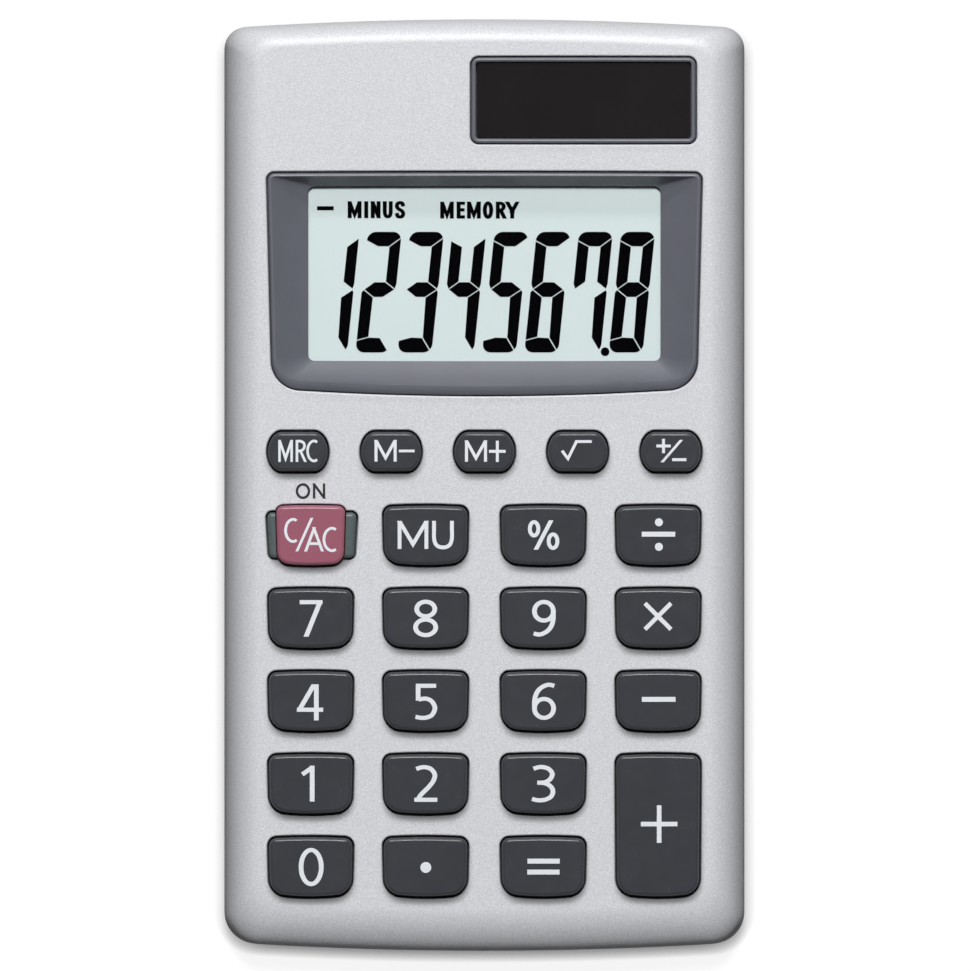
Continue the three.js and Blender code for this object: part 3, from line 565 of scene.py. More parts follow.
# Moulded finishes: the colour, the roughness, and where they differ from most, the gloss, the
# grain's size and depth, how far the colour varies, and the share of metal
MOULDED = {
    "grey_plastic": ((176, 177, 181), 0.5, 0.5, 0.3, 0.012),
    "dark_plastic": ((60, 62, 67), 0.24, 0.3, 0.3, 0.0004),
    "rose_plastic": ((156, 93, 111), 0.24, 0.3, 0.3, 0.0004),
    "guard_plastic": ((86, 96, 96), 0.3, 0.3),
    "slate_plastic": ((96, 98, 107), 0.42, 0.55),
    "smoked_plastic": ((35, 32, 33), 0.15, 0.1, 0.5, 0.0002, 0.1),
    "polariser_film": ((214, 227, 227), 0.6, 0.2, 0.4, 0.0002, 0.005),
    "reflector_film": ((200, 208, 206), 0.4, 0.5, 0.2, 0.001, 0.02, 0.5),
    "dark_rubber": ((58, 58, 60), 0.8, 0.5, 0.25, 0.004),
    "solar_glass": ((29, 26, 27), 0.35, 0.03, 0.5, 0.0002, 0.1),
    "red_insulation": ((168, 50, 44), 0.5),
    "black_insulation": ((28, 28, 30), 0.5),
    "board_laminate": ((47, 107, 63), 0.45, 0.5, 0.4, 0.003, 0.12),
    "keypad_rubber": ((217, 214, 204), 0.75, 0.5, 0.3, 0.003),
    "black_resin": ((24, 24, 24), 0.3, 0.5, 0.8, 0.02),
    "component_ceramic": ((179, 155, 120), 0.55, 0.5, 0.2, 0.003),
    "steel": ((184, 186, 189), 0.28, 0.5, 0.15, 0.001, 0.04, 1),
    "white_print": ((226, 230, 235), 0.5, 0.5, 0.1, 0.0005, 0.02),
    "dark_print": ((40, 40, 42), 0.5, 0.2, 0.1, 0.0005),
    "lcd_ink": ((4, 4, 6), 0.6, 0, 0.3, 0.0002, 0.1),
}
FINISHES = {name: moulded(name, *row) for name, row in MOULDED.items()}
FINISHES["silver_paint"] = silver_paint("silver_paint")
FINISHES["clear_plastic"] = clear_sheet("clear_plastic", (255, 255, 255), 0.004)
FINISHES["lcd_glass"] = clear_sheet("lcd_glass", (236, 244, 240), 0.04)


def add_piece(name, mesh, finish, body="root", stands_for=()):
    """A piece of the scene: smooth where its faces meet at a small angle."""
    mesh.name = name
    mesh.materials.clear()
    mesh.materials.append(FINISHES[finish])
    mesh.shade_smooth()
    mesh.set_sharp_from_angle(angle=SMOOTH_ANGLE)
    piece = new_object(name, mesh)
    weighted = piece.modifiers.new("weighted", "WEIGHTED_NORMAL")
    weighted.keep_sharp = True
    weighted.weight = LARGEST_WEIGHT
    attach(piece, body)
    if stands_for:
        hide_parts(*stands_for)
    return piece


# Sizes that the frame gives
front_low, front_high = node_box("front_case")
CASE_HALF = front_high.x
CASE_TOP = front_high.y
FACE = front_high.z
CEILING = FACE - FACE_THICKNESS
FRONT_BOTTOM = front_low.z
rear_top = node_box("rear_cover")[1].z
PARTING = FRONT_BOTTOM - SEAM_GAP
behaviour = frame["record"]["behaviour"]
BODY_OF_NODE = {node: body for body, nodes in behaviour["bodies"].items() for node in nodes}
KEYS = sorted(node for node in frame["nodes"] if node.startswith("key_"))
SCREWS = sorted(node for node in frame["nodes"] if node.startswith("case_screw"))


class Key:
    """A key's place, and its outline at a distance outward from its sides."""

    def __init__(self, node):
        low, high = node_box(node)
        self.node = node
        self.x = (low.x + high.x) / 2
        self.y = (low.y + high.y) / 2
        self.underside = low.z
        self.top = high.z
        self.barrel = node in SMALL_KEYS
        if node == "key_clear":
            self.gap, self.finish, shape = CLEAR_KEY_GAP, "rose_plastic", CLEAR_KEY
        else:
            self.gap, self.finish, shape = KEY_GAP, "dark_plastic", LARGE_KEY
        shape = {"end": SMALL_KEY_END} if self.barrel else shape
        self.size = {**around(node, -KEY_FLANGE), **shape}

    def outline(self, distance):
        return (barrel if self.barrel else bowed)(self.size, distance)


keys = [Key(node) for node in KEYS]
clear_key = next(key for key in keys if key.node == "key_clear")

guard_low, guard_high = node_box("clear_key_guard")
GUARD_MIDDLE = (clear_key.size["top"] + clear_key.size["bottom"]) / 2
GUARD_HALF = (guard_high.x - guard_low.x) / 2 - GUARD_RIM
GUARD_SIZE = {
    **rectangle(
        clear_key.x + GUARD_SHIFT,
        GUARD_HALF - GUARD_SHIFT,
        GUARD_MIDDLE - GUARD_HEIGHT / 2,
        GUARD_MIDDLE + GUARD_HEIGHT / 2,
        GUARD_RADIUS,
    ),
    "lean": GUARD_LEAN,
}

bezel_low, bezel_high = node_box("display_bezel")
BEZEL_FACE = bezel_high.z
BEZEL_SIZE = {**around("display_bezel", -BEZEL_FLANGE), **BEZEL}
WINDOW_SIZE = around("lcd_front_glass", -GLASS_OVERLAP, WINDOW_RADIUS)
WINDOW_SIZE["bottom"] += GLASS_LEDGE

solar_low, solar_high = node_box("solar_frame")
SOLAR_SIZE = shifted(around("solar_frame", -SOLAR_FLANGE, SOLAR_RADIUS), -SOLAR_DROP)


# The two halves of the case

ROLL_TURNS = even_steps(QUARTER, ROLL_STEPS)


def case_outline(inward, depth=0):
    """The case's outline moved inward by a distance for each edge, its corners tighter by a depth."""
    bottom = inward["bottom"] - CASE_TOP
    size = rectangle(0, CASE_HALF - inward["side"], bottom, CASE_TOP - inward["top"], 0, END_BOW)
    corners = {"top_radius": TOP_CORNER_RADIUS - depth, "bottom_radius": BOTTOM_CORNER_RADIUS - depth}
    return bowed({**size, **corners})


def skin(depth):
    """The case's outline moved inward by the same distance all round."""
    return case_outline({edge: depth for edge in ROLLS}, depth)


def roll_inward(z):
    """How far each rolled edge lies inward of the widest outline, at a height."""
    inward = {}
    for edge, (roll, drop) in ROLLS.items():
        share = max(0, min(1, (z - FACE + drop) / drop))
        inward[edge] = roll * (1 - math.sqrt(1 - share**2))
    fall = FACE - z
    roll, drop = ROLLS["top"]
    if fall < GENTLE_DROP:
        inward["top"] = roll - GENTLE_WIDTH * math.sqrt(max(fall, 0) / GENTLE_DROP)
    else:
        share = max(0, 1 - (fall - GENTLE_START) / (drop - GENTLE_START))
        inward["top"] = TIGHT_ROLL * (1 - math.sqrt(1 - share**2))
    return inward


def rolled(z, deeper=0):
    """The case's outline at a height on its rolled edges, moved inward by a distance."""
    return case_outline({edge: inward + deeper for edge, inward in roll_inward(z).items()})


def front_body():
    """The front half, solid, with a small round at its lower edge."""
    bottom = FRONT_BOTTOM + SEAM_ROUND
    seam = quarter_round(SEAM_ROUND)
    levels = [(rolled(bottom, drop), FRONT_BOTTOM + inward) for inward, drop in seam]
    heights = [bottom + (FACE - bottom) * math.sin(turn) for turn in ROLL_TURNS[1:]]
    return loft(levels + [(rolled(z), z) for z in heights])


def front_cavity():
    """The space inside the front half, open at the bottom."""
    shoulder = FACE - SHOULDER_DROP
    rise = CEILING - shoulder
    levels = [(skin(WALL), FRONT_BOTTOM - OVERRUN)]
    for turn in ROLL_TURNS:
        inward = {edge: roll - (roll - WALL) * math.cos(turn) for edge, (roll, drop) in ROLLS.items()}
        levels.append((case_outline(inward, WALL), shoulder + rise * math.sin(turn)))
    return loft(levels)


def back_levels(depth, rise):
    """Outlines up the round of the back."""
    levels = []
    for turn in reversed(ROLL_TURNS):
        inward = BACK_ROLL - (BACK_ROLL - depth) * math.cos(turn)
        outline = case_outline({edge: inward for edge in ROLLS}, depth)
        levels.append((outline, BACK_RISE - rise * math.sin(turn)))
    return levels


def rear_body():
    """The rear half, solid, with a small round at its upper edge. Its sides already lean in to
    the roll of the face."""
    top = PARTING - SEAM_ROUND
    heights = [BACK_RISE + rise for rise in even_steps(top - BACK_RISE, EDGE_STEPS)[1:-1]]
    leaning = [(rolled(z), z) for z in heights]
    rim = [(rolled(top, inward), PARTING - drop) for inward, drop in quarter_round(SEAM_ROUND)]
    return loft(back_levels(0, BACK_RISE) + leaning + rim)


def rear_cavity():
    levels = back_levels(WALL, BACK_RISE - FLOOR_THICKNESS)
    return loft(levels + [(skin(WALL), PARTING + OVERRUN)])


def screw_places():
    boxes = [node_box(node) for node in SCREWS]
    return [((low.x + high.x) / 2, (low.y + high.y) / 2) for low, high in boxes]


def add_front_case():
    low = CEILING - OVERRUN
    tools = [front_cavity()]
    for key in keys:
        tools.append(opening(lambda d, key=key: key.outline(key.gap + d), low, FACE))
    for size, gap in ((GUARD_SIZE, GUARD_GAP), (BEZEL_SIZE, 0), (SOLAR_SIZE, 0)):
        tools.append(opening(lambda d, size=size, gap=gap: bowed(size, gap + d), low, FACE))
    add_piece("front_case_shell", cut(front_body(), tools), "silver_paint", stands_for=["front_case"])


def wall_ring(depth, thickness, top):
    """An upright ring that follows the case's outline, from the lip's root up."""
    bottom = PARTING - LIP_ROOT
    inner = prism(skin(depth + thickness), bottom - OVERRUN, top + OVERRUN)
    return cut(prism(skin(depth), bottom, top), [inner])


def add_rear_cover():
    seat_height = SCREW_HEAD_SUNK + SCREW_HEAD_HEIGHT
    places = screw_places()
    tray = cut(rear_body(), [rear_cavity()])
    lip = wall_ring(WALL + LIP_CLEARANCE, LIP_THICKNESS, rear_top)
    root = wall_ring(WALL - SEAT, LIP_CLEARANCE + 2 * SEAT, PARTING - SEAT)
    high = rear_top + OVERRUN
    cup_top = seat_height + CUP_RISE
    way_radius = BOSS_RADIUS + 2 * SCREW_HOLE_CLEARANCE
    ways = [cylinder(x, y, way_radius, cup_top, high) for x, y in places]
    cups = [cylinder(x, y, CUP_RADIUS, FLOOR_THICKNESS / 2, cup_top) for x, y in places]
    shell = cut(joined([tray, root, lip]), ways)
    held = [combined(cup, [rear_body()], "INTERSECT") for cup in cups]
    panel = rectangle(0, PANEL["half"], PANEL["bottom"], PANEL["top"], PANEL["radius"])
    tools = [loft([
        (bowed(panel, SEAM_ROUND), -OVERRUN),
        (bowed(panel, SEAM_ROUND), 0),
        (bowed(panel), SEAM_ROUND),
        (bowed(panel), PANEL["depth"]),
    ])]
    for x, y in places:
        wide = SCREW_HEAD_RADIUS + SCREW_HOLE_CLEARANCE
        narrow = SCREW_RADIUS + SCREW_HOLE_CLEARANCE
        tools.append(turned(x, y, [
            (wide + SEAM_ROUND, -OVERRUN),
            (wide + SEAM_ROUND, 0),
            (wide, SEAM_ROUND),
            (wide, seat_height),
            (narrow, seat_height),
            (narrow, high),
        ]))
    cover = cut(joined([shell, *held]), tools)
    add_piece("rear_cover_shell", cover, "grey_plastic", stands_for=["rear_cover"])


def add_screws():
    """Round-headed screws with a cross recess, heads down."""
    for node, (x, y) in zip(SCREWS, screw_places()):
        low, high = node_box(node)
        seat_height = low.z + SCREW_HEAD_HEIGHT
        edge = [
            (SCREW_HEAD_RADIUS - drop, low.z + inward)
            for drop, inward in reversed(quarter_round(SCREW_HEAD_EDGE))
        ]
        body = turned(x, y, [
            *edge,
            (SCREW_HEAD_RADIUS, seat_height),
            (SCREW_RADIUS, seat_height),
            (SCREW_RADIUS, high.z - SCREW_TIP),
            (SCREW_POINT, high.z),
        ])
        long = SCREW_SLOT_LENGTH / 2
        thin = SCREW_SLOT_WIDTH / 2
        bottom = low.z - OVERRUN
        top = low.z + SCREW_RECESS
        cross = [
            block(x - long, x + long, y - thin, y + thin, bottom, top),
            block(x - thin, x + thin, y - long, y + long, bottom, top),
        ]
        add_piece(f"{node}_head", cut(body, cross), "steel", stands_for=[node])


# The keys and the guard of the clear key

def key_bevel():
    """Inward distance and drop along a key's bevel, from the side up to the face, which it
    meets in a slight crease."""
    wide = KEY_BEVEL_WIDTH / (1 - math.cos(KEY_BEVEL_TURN))
    high = KEY_BEVEL_DROP / math.sin(KEY_BEVEL_TURN)
    turns = even_steps(KEY_BEVEL_TURN, KEY_BEVEL_STEPS)
    return [(wide * (1 - math.cos(a)), KEY_BEVEL_DROP - high * math.sin(a)) for a in turns]


def add_keys():
    for key in keys:
        face = key.top - PRINT_THICKNESS
        flange_top = key.underside + KEY_FLANGE_THICKNESS
        levels = [
            (key.outline(KEY_FLANGE), key.underside),
            (key.outline(KEY_FLANGE), flange_top),
            (key.outline(0), flange_top),
            *((key.outline(-inward), face - drop) for inward, drop in key_bevel()),
        ]
        body = BODY_OF_NODE[key.node]
        add_piece(f"{key.node}_cap", loft(levels), key.finish, body, stands_for=[key.node])


def add_guard():
    near = clear_key.size["bottom"] - CLEAR_KEY_GAP
    far = clear_key.size["top"] + CLEAR_KEY_GAP
    size = rectangle(clear_key.x, GUARD_HALF, near, far, GUARD_RADIUS)
    bottom = guard_low.z
    plate = prism(bowed(size, GUARD_RIM), bottom, bottom + GUARD_PLATE)
    edge = quarter_round(GUARD_EDGE)
    ears = loft([
        (bowed(GUARD_SIZE), bottom + GUARD_PLATE / 2),
        *((bowed(GUARD_SIZE, -inward), guard_high.z - drop) for inward, drop in edge),
    ])
    way = prism(clear_key.outline(CLEAR_KEY_GAP), bottom - OVERRUN, guard_high.z + OVERRUN)
    guard = cut(joined([plate, ears]), [way])
    add_piece("clear_key_guard_ears", guard, "guard_plastic", stands_for=["clear_key_guard"])


# The rubber keypad: a sheet on the board, and a dome under each key

def dome_places(key):
    """The plus key is two rows high, and presses a dome in each."""
    rows = [row.y for row in keys if row.node in PLUS_ROWS] if key.node == "key_plus" else [key.y]
    return [(key.x, y) for y in rows]


def add_keypad():
    low, high = node_box("rubber_keypad")
    sheet_top = low.z + KEYPAD_SHEET
    hole = DOME_BASE - DOME_WALL
    outline = bowed(rectangle(0, high.x, low.y, high.y, KEYPAD_RADIUS, END_BOW))
    places = [place for key in keys for place in dome_places(key)]
    holes = [cylinder(x, y, hole, low.z - OVERRUN, sheet_top + OVERRUN) for x, y in places]
    sheet = cut(prism(outline, low.z, sheet_top), holes)
    add_piece("rubber_keypad_sheet", sheet, "keypad_rubber", stands_for=["rubber_keypad"])
    for key in keys:
        for number, (x, y) in enumerate(dome_places(key), 1):
            add_dome(key, f"{key.node}_dome_{number}", x, y, sheet_top)


def add_dome(key, name, x, y, bottom):
    top = key.underside - SEAT
    hole = DOME_BASE - DOME_WALL
    head = [(DOME_NECK - inward, top - drop) for inward, drop in quarter_round(DOME_EDGE)]
    body = turned(x, y, [(DOME_BASE, bottom), (DOME_NECK, (bottom + top) / 2), *head])
    hollow = turned(x, y, [
        (hole, bottom - OVERRUN),
        (hole, bottom),
        (DOME_NECK - DOME_WALL, top - DOME_HEAD),
    ])
    dome = add_piece(name, cut(body, [hollow]), "keypad_rubber")
    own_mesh(dome)


# The display and the solar window

def slope_levels(upper, lower, bottom):
    """Levels down a slope that grows flatter towards its foot, which is slightly rounded."""
    levels = []
    for step in range(1, SLOPE_STEPS + 1):
        share = step / (SLOPE_STEPS + FOOT_STEP)
        size = {name: upper[name] + (lower[name] - upper[name]) * share for name in upper}
        drop = share * (1 - SLOPE_CURVE + SLOPE_CURVE * share)
        levels.append((size, BEZEL_FACE + (bottom - BEZEL_FACE) * drop))
    return [*levels, (lower, bottom - FOOT_DROP)]


def crest(size, inward):
    """The bezel's outline moved inward along its rounded rim, which is wider at the lower edge."""
    moved = grown(size, -inward)
    lift = inward * (BEZEL_LOWER_EDGE / BEZEL_EDGE - 1)
    return {**moved, "bottom": moved["bottom"] + lift}


def add_bezel():
    """A slate funnel round the display, in one ring of levels: up its outside, over its rounded
    rim, down its slopes to the window, and back up inside its skirt."""
    outer = grown(BEZEL_SIZE, -BEZEL_GAP)
    rim = grown(crest(outer, BEZEL_EDGE), -BEZEL_RIM)
    flange = grown(BEZEL_SIZE, BEZEL_FLANGE)
    base = CEILING - SEAT - BEZEL_FLANGE_THICKNESS
    window_edge = BEZEL_FACE - WINDOW_DEPTH
    pocket = around("lcd_front_glass", SEAT, WINDOW_RADIUS)
    skirt = grown(pocket, SKIRT_THICKNESS)
    levels = [
        (flange, base),
        (flange, CEILING - SEAT),
        (outer, CEILING - SEAT),
        *((crest(outer, inward), BEZEL_FACE - drop) for inward, drop in quarter_round(BEZEL_EDGE)),
        (rim, BEZEL_FACE),
        *slope_levels(rim, WINDOW_SIZE, window_edge),
        (WINDOW_SIZE, base),
        (pocket, base),
        (pocket, bezel_low.z),
        (skirt, bezel_low.z),
        (skirt, base),
    ]
    mesh = loft([(bowed(size), z) for size, z in levels], ring=True)
    add_piece("display_bezel_funnel", mesh, "slate_plastic", stands_for=["display_bezel"])


def add_solar_frame():
    """The frame round the solar window, and below the window, round the cell."""
    outer = grown(SOLAR_SIZE, -SOLAR_GAP)
    pocket = grown(SOLAR_SIZE, -SOLAR_FRAME_WIDTH)
    well = shifted(pocket, SOLAR_DROP)
    way = grown(well, -SOLAR_LEDGE)
    flange = grown(SOLAR_SIZE, SOLAR_FLANGE)
    flange_top = CEILING - SEAT
    cell_low = node_box("solar_cell")[0]
    window_low = node_box("solar_window")[0]
    ridge = quarter_round(SOLAR_EDGE)
    levels = [
        (outer, solar_low.z),
        (outer, flange_top - SOLAR_FLANGE_THICKNESS),
        (flange, flange_top - SOLAR_FLANGE_THICKNESS),
        (flange, flange_top),
        (outer, flange_top),
        *((grown(outer, -inward), solar_high.z - drop) for inward, drop in ridge),
        *((grown(pocket, inward), solar_high.z - drop) for inward, drop in reversed(ridge)),
        (pocket, window_low.z),
        (well, window_low.z),
        (well, cell_low.z),
        (way, cell_low.z),
        (way, solar_low.z),
    ]
    mesh = loft([(bowed(size), z) for size, z in levels], ring=True)
    add_piece("solar_frame_rim", mesh, "slate_plastic", stands_for=["solar_frame"])


def add_solar_window():
    """A smoked pane, in place of the clear one."""
    low, high = node_box("solar_window")
    size = around("solar_window", radius=SOLAR_RADIUS - SOLAR_FRAME_WIDTH)
    mesh = prism(bowed(shifted(size, -SOLAR_DROP)), low.z, high.z)
    pane = add_piece("solar_window_pane", mesh, "smoked_plastic", stands_for=["solar_window"])


# Characters: strokes along their middle lines, in a box one wide and one high

UPRIGHT = 0  # an end cut upright, out to the character's side
LEVEL = 1  # an end cut level, out to the character's foot or top
SQUARE = 2  # an end cut square to the stroke


def line(*points, ends=(LEVEL, LEVEL)):
    """A stroke through points, with how its first and its last end are cut."""
    return {"points": points, "ends": ends}


def curve(*points, ends=(SQUARE, SQUARE)):
    return line(*smooth(points), ends=ends)


def dash(*points):
    return line(*points, ends=(SQUARE, SQUARE))


def bar(y, right=1):
    """A level stroke across the character."""
    return line((0, y), (right, y), ends=(UPRIGHT, UPRIGHT))


def stem(x):
    """An upright stroke from the character's foot to its top."""
    return line((x, 0), (x, 1))


def ring(x, y, across, up):
    return {"points": arc(x, y, across, 0, 4 * QUARTER, RING_STEPS, up)[:-1], "ends": None}


def smooth(points):
    """A smooth curve through the points."""
    last = len(points) - 1
    made = []
    for i in range(last):
        before, here = points[max(i - 1, 0)], points[i]
        after, beyond = points[i + 1], points[min(i + 2, last)]
        for step in range(STROKE_STEPS):
            made.append(spline_point(before, here, after, beyond, step / STROKE_STEPS))
    return made + [points[last]]


def spline_point(before, here, after, beyond, t):
    return tuple(
        b + t * (c - a + t * (2 * a - 5 * b + 4 * c - d + t * (3 * b - 3 * c + d - a))) / 2
        for a, b, c, d in zip(before, here, after, beyond)
    )


NINE_BOWL = ring(0.5, 0.714, 0.5, 0.286)
NINE_TAIL = curve(
    (0.99, 0.75), (1, 0.59), (0.975, 0.41), (0.87, 0.235),
    (0.67, 0.1), (0.4, 0.016), (0.19, 0), (-0.04, 0.034),
)


def turned_over(stroke):
    return {**stroke, "points": [(1 - x, 1 - y) for x, y in stroke["points"]]}


CHARACTERS = {
    "0": [ring(0.5, 0.5, 0.5, 0.5)],
    "1": [stem(1), dash((0.9, 0.985), (-0.14, 0.79))],
    "2": [
        curve(
            (-0.02, 0.944), (0.22, 0.99), (0.48, 1), (0.79, 0.94), (0.99, 0.775),
            (0.91, 0.58), (0.65, 0.39), (0.26, 0.17), (0.09, 0.03),
        ),
        bar(0),
    ],
    "3": [
        curve(
            (-0.05, 0.948), (0.19, 0.99), (0.44, 1), (0.77, 0.942), (0.96, 0.8),
            (0.86, 0.644), (0.61, 0.55), (0.36, 0.529), (0.15, 0.529),
        ),
        curve(
            (0.36, 0.529), (0.66, 0.495), (0.91, 0.395), (1, 0.26), (0.9, 0.116),
            (0.63, 0.027), (0.33, 0), (0.08, 0.01), (-0.13, 0.043),
        ),
    ],
    "4": [bar(0.269), stem(0.794), line((0.64, 1), (0.06, 0.33))],
    "5": [
        line((0, 1), (1.083, 1), ends=(UPRIGHT, SQUARE)),
        line((0, 1), (0, 0.6)),
        curve(
            (0.02, 0.562), (0.2, 0.589), (0.5, 0.595), (0.81, 0.519), (0.995, 0.354),
            (0.985, 0.228), (0.81, 0.076), (0.47, 0.003), (0.13, 0), (-0.157, 0.028),
        ),
    ],
    "6": [turned_over(NINE_BOWL), turned_over(NINE_TAIL)],
    "7": [bar(1), line((0.94, 0.93), (0.268, 0))],
    "8": [ring(0.5, 0.233, 0.5, 0.233), ring(0.505, 0.782, 0.447, 0.218)],
    "9": [NINE_BOWL, NINE_TAIL],
    "A": [line((0, 0), (0.5, 1)), line((0.5, 1), (1, 0)), dash((0.2, 0.3), (0.8, 0.3))],
    "C": [
        curve(
            (1.12, 0.94), (0.85, 1), (0.5, 0.97), (0.15, 0.8), (0, 0.5),
            (0.15, 0.2), (0.5, 0.03), (0.85, 0), (1.12, 0.06),
        )
    ],
    "E": [stem(0), bar(1), bar(0.52, 0.9), bar(0)],
    "I": [stem(0.5)],
    "M": [stem(0), stem(1), line((0.03, 1), (0.5, 0.12), (0.97, 1))],
    "N": [stem(0), line((0.03, 1), (0.97, 0)), stem(1)],
    "O": [ring(0.5, 0.5, 0.5, 0.5)],
    "R": [
        stem(0),
        curve((0, 1), (0.45, 1), (0.85, 0.91), (0.95, 0.76), (0.82, 0.6), (0.45, 0.5), (0, 0.5)),
        line((0.45, 0.5), (1, 0)),
    ],
    "S": [
        curve(
            (0.98, 0.74), (0.85, 0.95), (0.5, 1), (0.13, 0.93), (0.02, 0.74), (0.22, 0.58),
            (0.77, 0.42), (0.98, 0.24), (0.85, 0.06), (0.5, 0), (0.15, 0.05), (0.01, 0.27),
        )
    ],
    "U": [
        curve(
            (0, 1), (0, 0.7), (0, 0.4), (0.07, 0.17), (0.24, 0.04), (0.5, 0),
            (0.76, 0.04), (0.93, 0.17), (1, 0.4), (1, 0.7), (1, 1),
            ends=(LEVEL, LEVEL),
        )
    ],
    "Y": [line((0, 1), (0.5, 0.42)), line((1, 1), (0.5, 0.42)), line((0.5, 0.5), (0.5, 0))],
    "/": [line((0, 0), (1, 1))],
    "-": [bar(0.5)],
    "+": [bar(0.5), stem(0.5)],
    "x": [dash((0, 0), (1, 1)), dash((0, 1), (1, 0))],
    "root": [line((0, 0.5), (0.21, 0.06), (0.51, 1), (1, 1), ends=(SQUARE, UPRIGHT))],
}

DIGIT_PEN = (4.7, 4.1)
BAR_PEN = (5, 4.9)
WORD_PEN = (4, 3.2)

# The digits on the keys: the left, right, lower and upper pixel of each in the photograph
KEY_DIGITS = {
    "0": (299, 323.9, 885.4, 847.3),
    "1": (301.5, 314.8, 801, 765.2),
    "2": (414.4, 437.4, 801.3, 764.7),
    "3": (532, 555.2, 801.8, 764.5),
    "4": (297.2, 323.4, 720, 684),
    "5": (415.9, 437.2, 719.4, 683.4),
    "6": (532, 555.8, 719.5, 682.4),
    "7": (300, 322.8, 636.4, 599.9),
    "8": (413.3, 438.2, 636.9, 599.5),
    "9": (532, 555.6, 636.3, 599.7),
}
# Legends: characters with the same pixels, and the pen's width where it goes up and along
KEY_LEGENDS = {
    **{f"key_{digit}": [(digit, *pixels, DIGIT_PEN)] for digit, pixels in KEY_DIGITS.items()},
    "key_decimal_point": [("dot", 420.5, 431.3, 872.2, 861.4, DIGIT_PEN)],
    "key_divide": [
        ("-", 641.5, 674.9, 536.5, 531.7, BAR_PEN),
        ("dot", 654.6, 662.6, 526.2, 518.2, DIGIT_PEN),
        ("dot", 654.6, 662.6, 550.7, 542.7, DIGIT_PEN),
    ],
    "key_multiply": [("x", 642.6, 672.8, 631.2, 601, (4.2, 4.2))],
    "key_minus": [("-", 641.6, 675.2, 701.3, 696.7, BAR_PEN)],
    "key_plus": [("+", 640.6, 677.1, 842.2, 804.8, (4.6, 4.5))],
    "key_equals": [
        ("-", 527.4, 559.6, 863, 858, BAR_PEN),
        ("-", 527.2, 559.4, 873.9, 868.9, BAR_PEN),
    ],
    "key_mark_up": [
        ("M", 397.8, 428.4, 548.8, 520.8, (3.8, 3.8)),
        ("U", 432.2, 453.9, 549.2, 520.8, (3.8, 3.8)),
    ],
    "key_percent": [
        ("O", 527.8, 540.2, 537.3, 520.1, (3.9, 3.7)),
        ("/", 534.8, 552, 549.6, 520.3, (4, 4)),
        ("O", 546.6, 559.2, 549.8, 532.4, (3.9, 3.7)),
    ],
    "key_clear": [
        ("C", 284.5, 297.2, 542.7, 518, (2.8, 2.7)),
        ("/", 296.4, 312.9, 551.3, 517.8, (2.6, 2.6)),
        ("A", 305, 323.6, 551.4, 527, (2.8, 2.7)),
        ("C", 322.8, 336.2, 551.9, 526.9, (2.8, 2.7)),
    ],
    "key_memory_recall": [
        ("M", 278.6, 293.2, 462, 440, (2.5, 2.6)),
        ("R", 296, 306.4, 462, 440, (2.5, 2.6)),
        ("C", 306.6, 317.6, 462.2, 439.8, (2.5, 2.6)),
    ],
    "key_memory_minus": [
        ("M", 374.7, 396.8, 461.6, 440, (3, 3)),
        ("-", 399, 414.7, 452.2, 449.8, (2.6, 2.6)),
    ],
    "key_memory_plus": [
        ("M", 465, 487, 461.8, 440.4, (3, 3)),
        ("+", 489, 505.6, 462, 440.8, (2.9, 2.9)),
    ],
    "key_square_root": [("root", 560.4, 591.6, 461.2, 440.2, (3, 2.8))],
    "key_sign_change": [
        ("+", 656, 670.4, 453.2, 438.9, (2.9, 2.9)),
        ("/", 661.6, 681.2, 462.3, 440, (2.5, 2.5)),
        ("-", 671.8, 686, 461.2, 458.2, (2.9, 2.9)),
    ],
}
ON_LEGEND = [
    ("O", 296, 310.4, 498.8, 483.2, (2.4, 2.3)),
    ("N", 313.2, 325.4, 498.4, 483.4, (2.3, 2.3)),
]
DISPLAY_LETTERS = [
    ("M", 347.8, 361.6, 218.2, 201.4),
    ("I", 363.6, 369, 218.2, 201.4),
    ("N", 370.8, 380.6, 218.2, 201.4),
    ("U", 382.8, 392.8, 218.4, 201.4),
    ("S", 394.8, 405.4, 218.6, 201.2),
    ("M", 440.2, 453.8, 218.6, 201.8),
    ("E", 456.6, 465, 218.6, 201.8),
    ("M", 467, 480.8, 218.6, 201.8),
    ("O", 482.8, 493.2, 218.9, 201.5),
    ("R", 495.8, 506, 218.6, 201.8),
    ("Y", 505.8, 518.6, 218.6, 201.8),
]
DISPLAY_WORDS = [
    ("-", 317.1, 333.8, 210.5, 206.2, (4, 4)),
    *((*letter, WORD_PEN) for letter in DISPLAY_LETTERS),
]


def way_between(start, end):
    """The way from a point to another, one long."""
    x = end[0] - start[0]
    y = end[1] - start[1]
    length = math.hypot(x, y)
    return x / length, y / length


def corner(before, here, after):
    """The way through a corner, and how far the sides of a band stretch there. At an end, the
    point before or after it is None."""
    ways = [way_between(before, here)] if before else []
    ways += [way_between(here, after)] if after else []
    first, last = ways[0], ways[-1]
    way = way_between((-first[0], -first[1]), last)
    return way, 1 / max(abs(way[0] * first[0] + way[1] * first[1]), SHARPEST_CORNER)


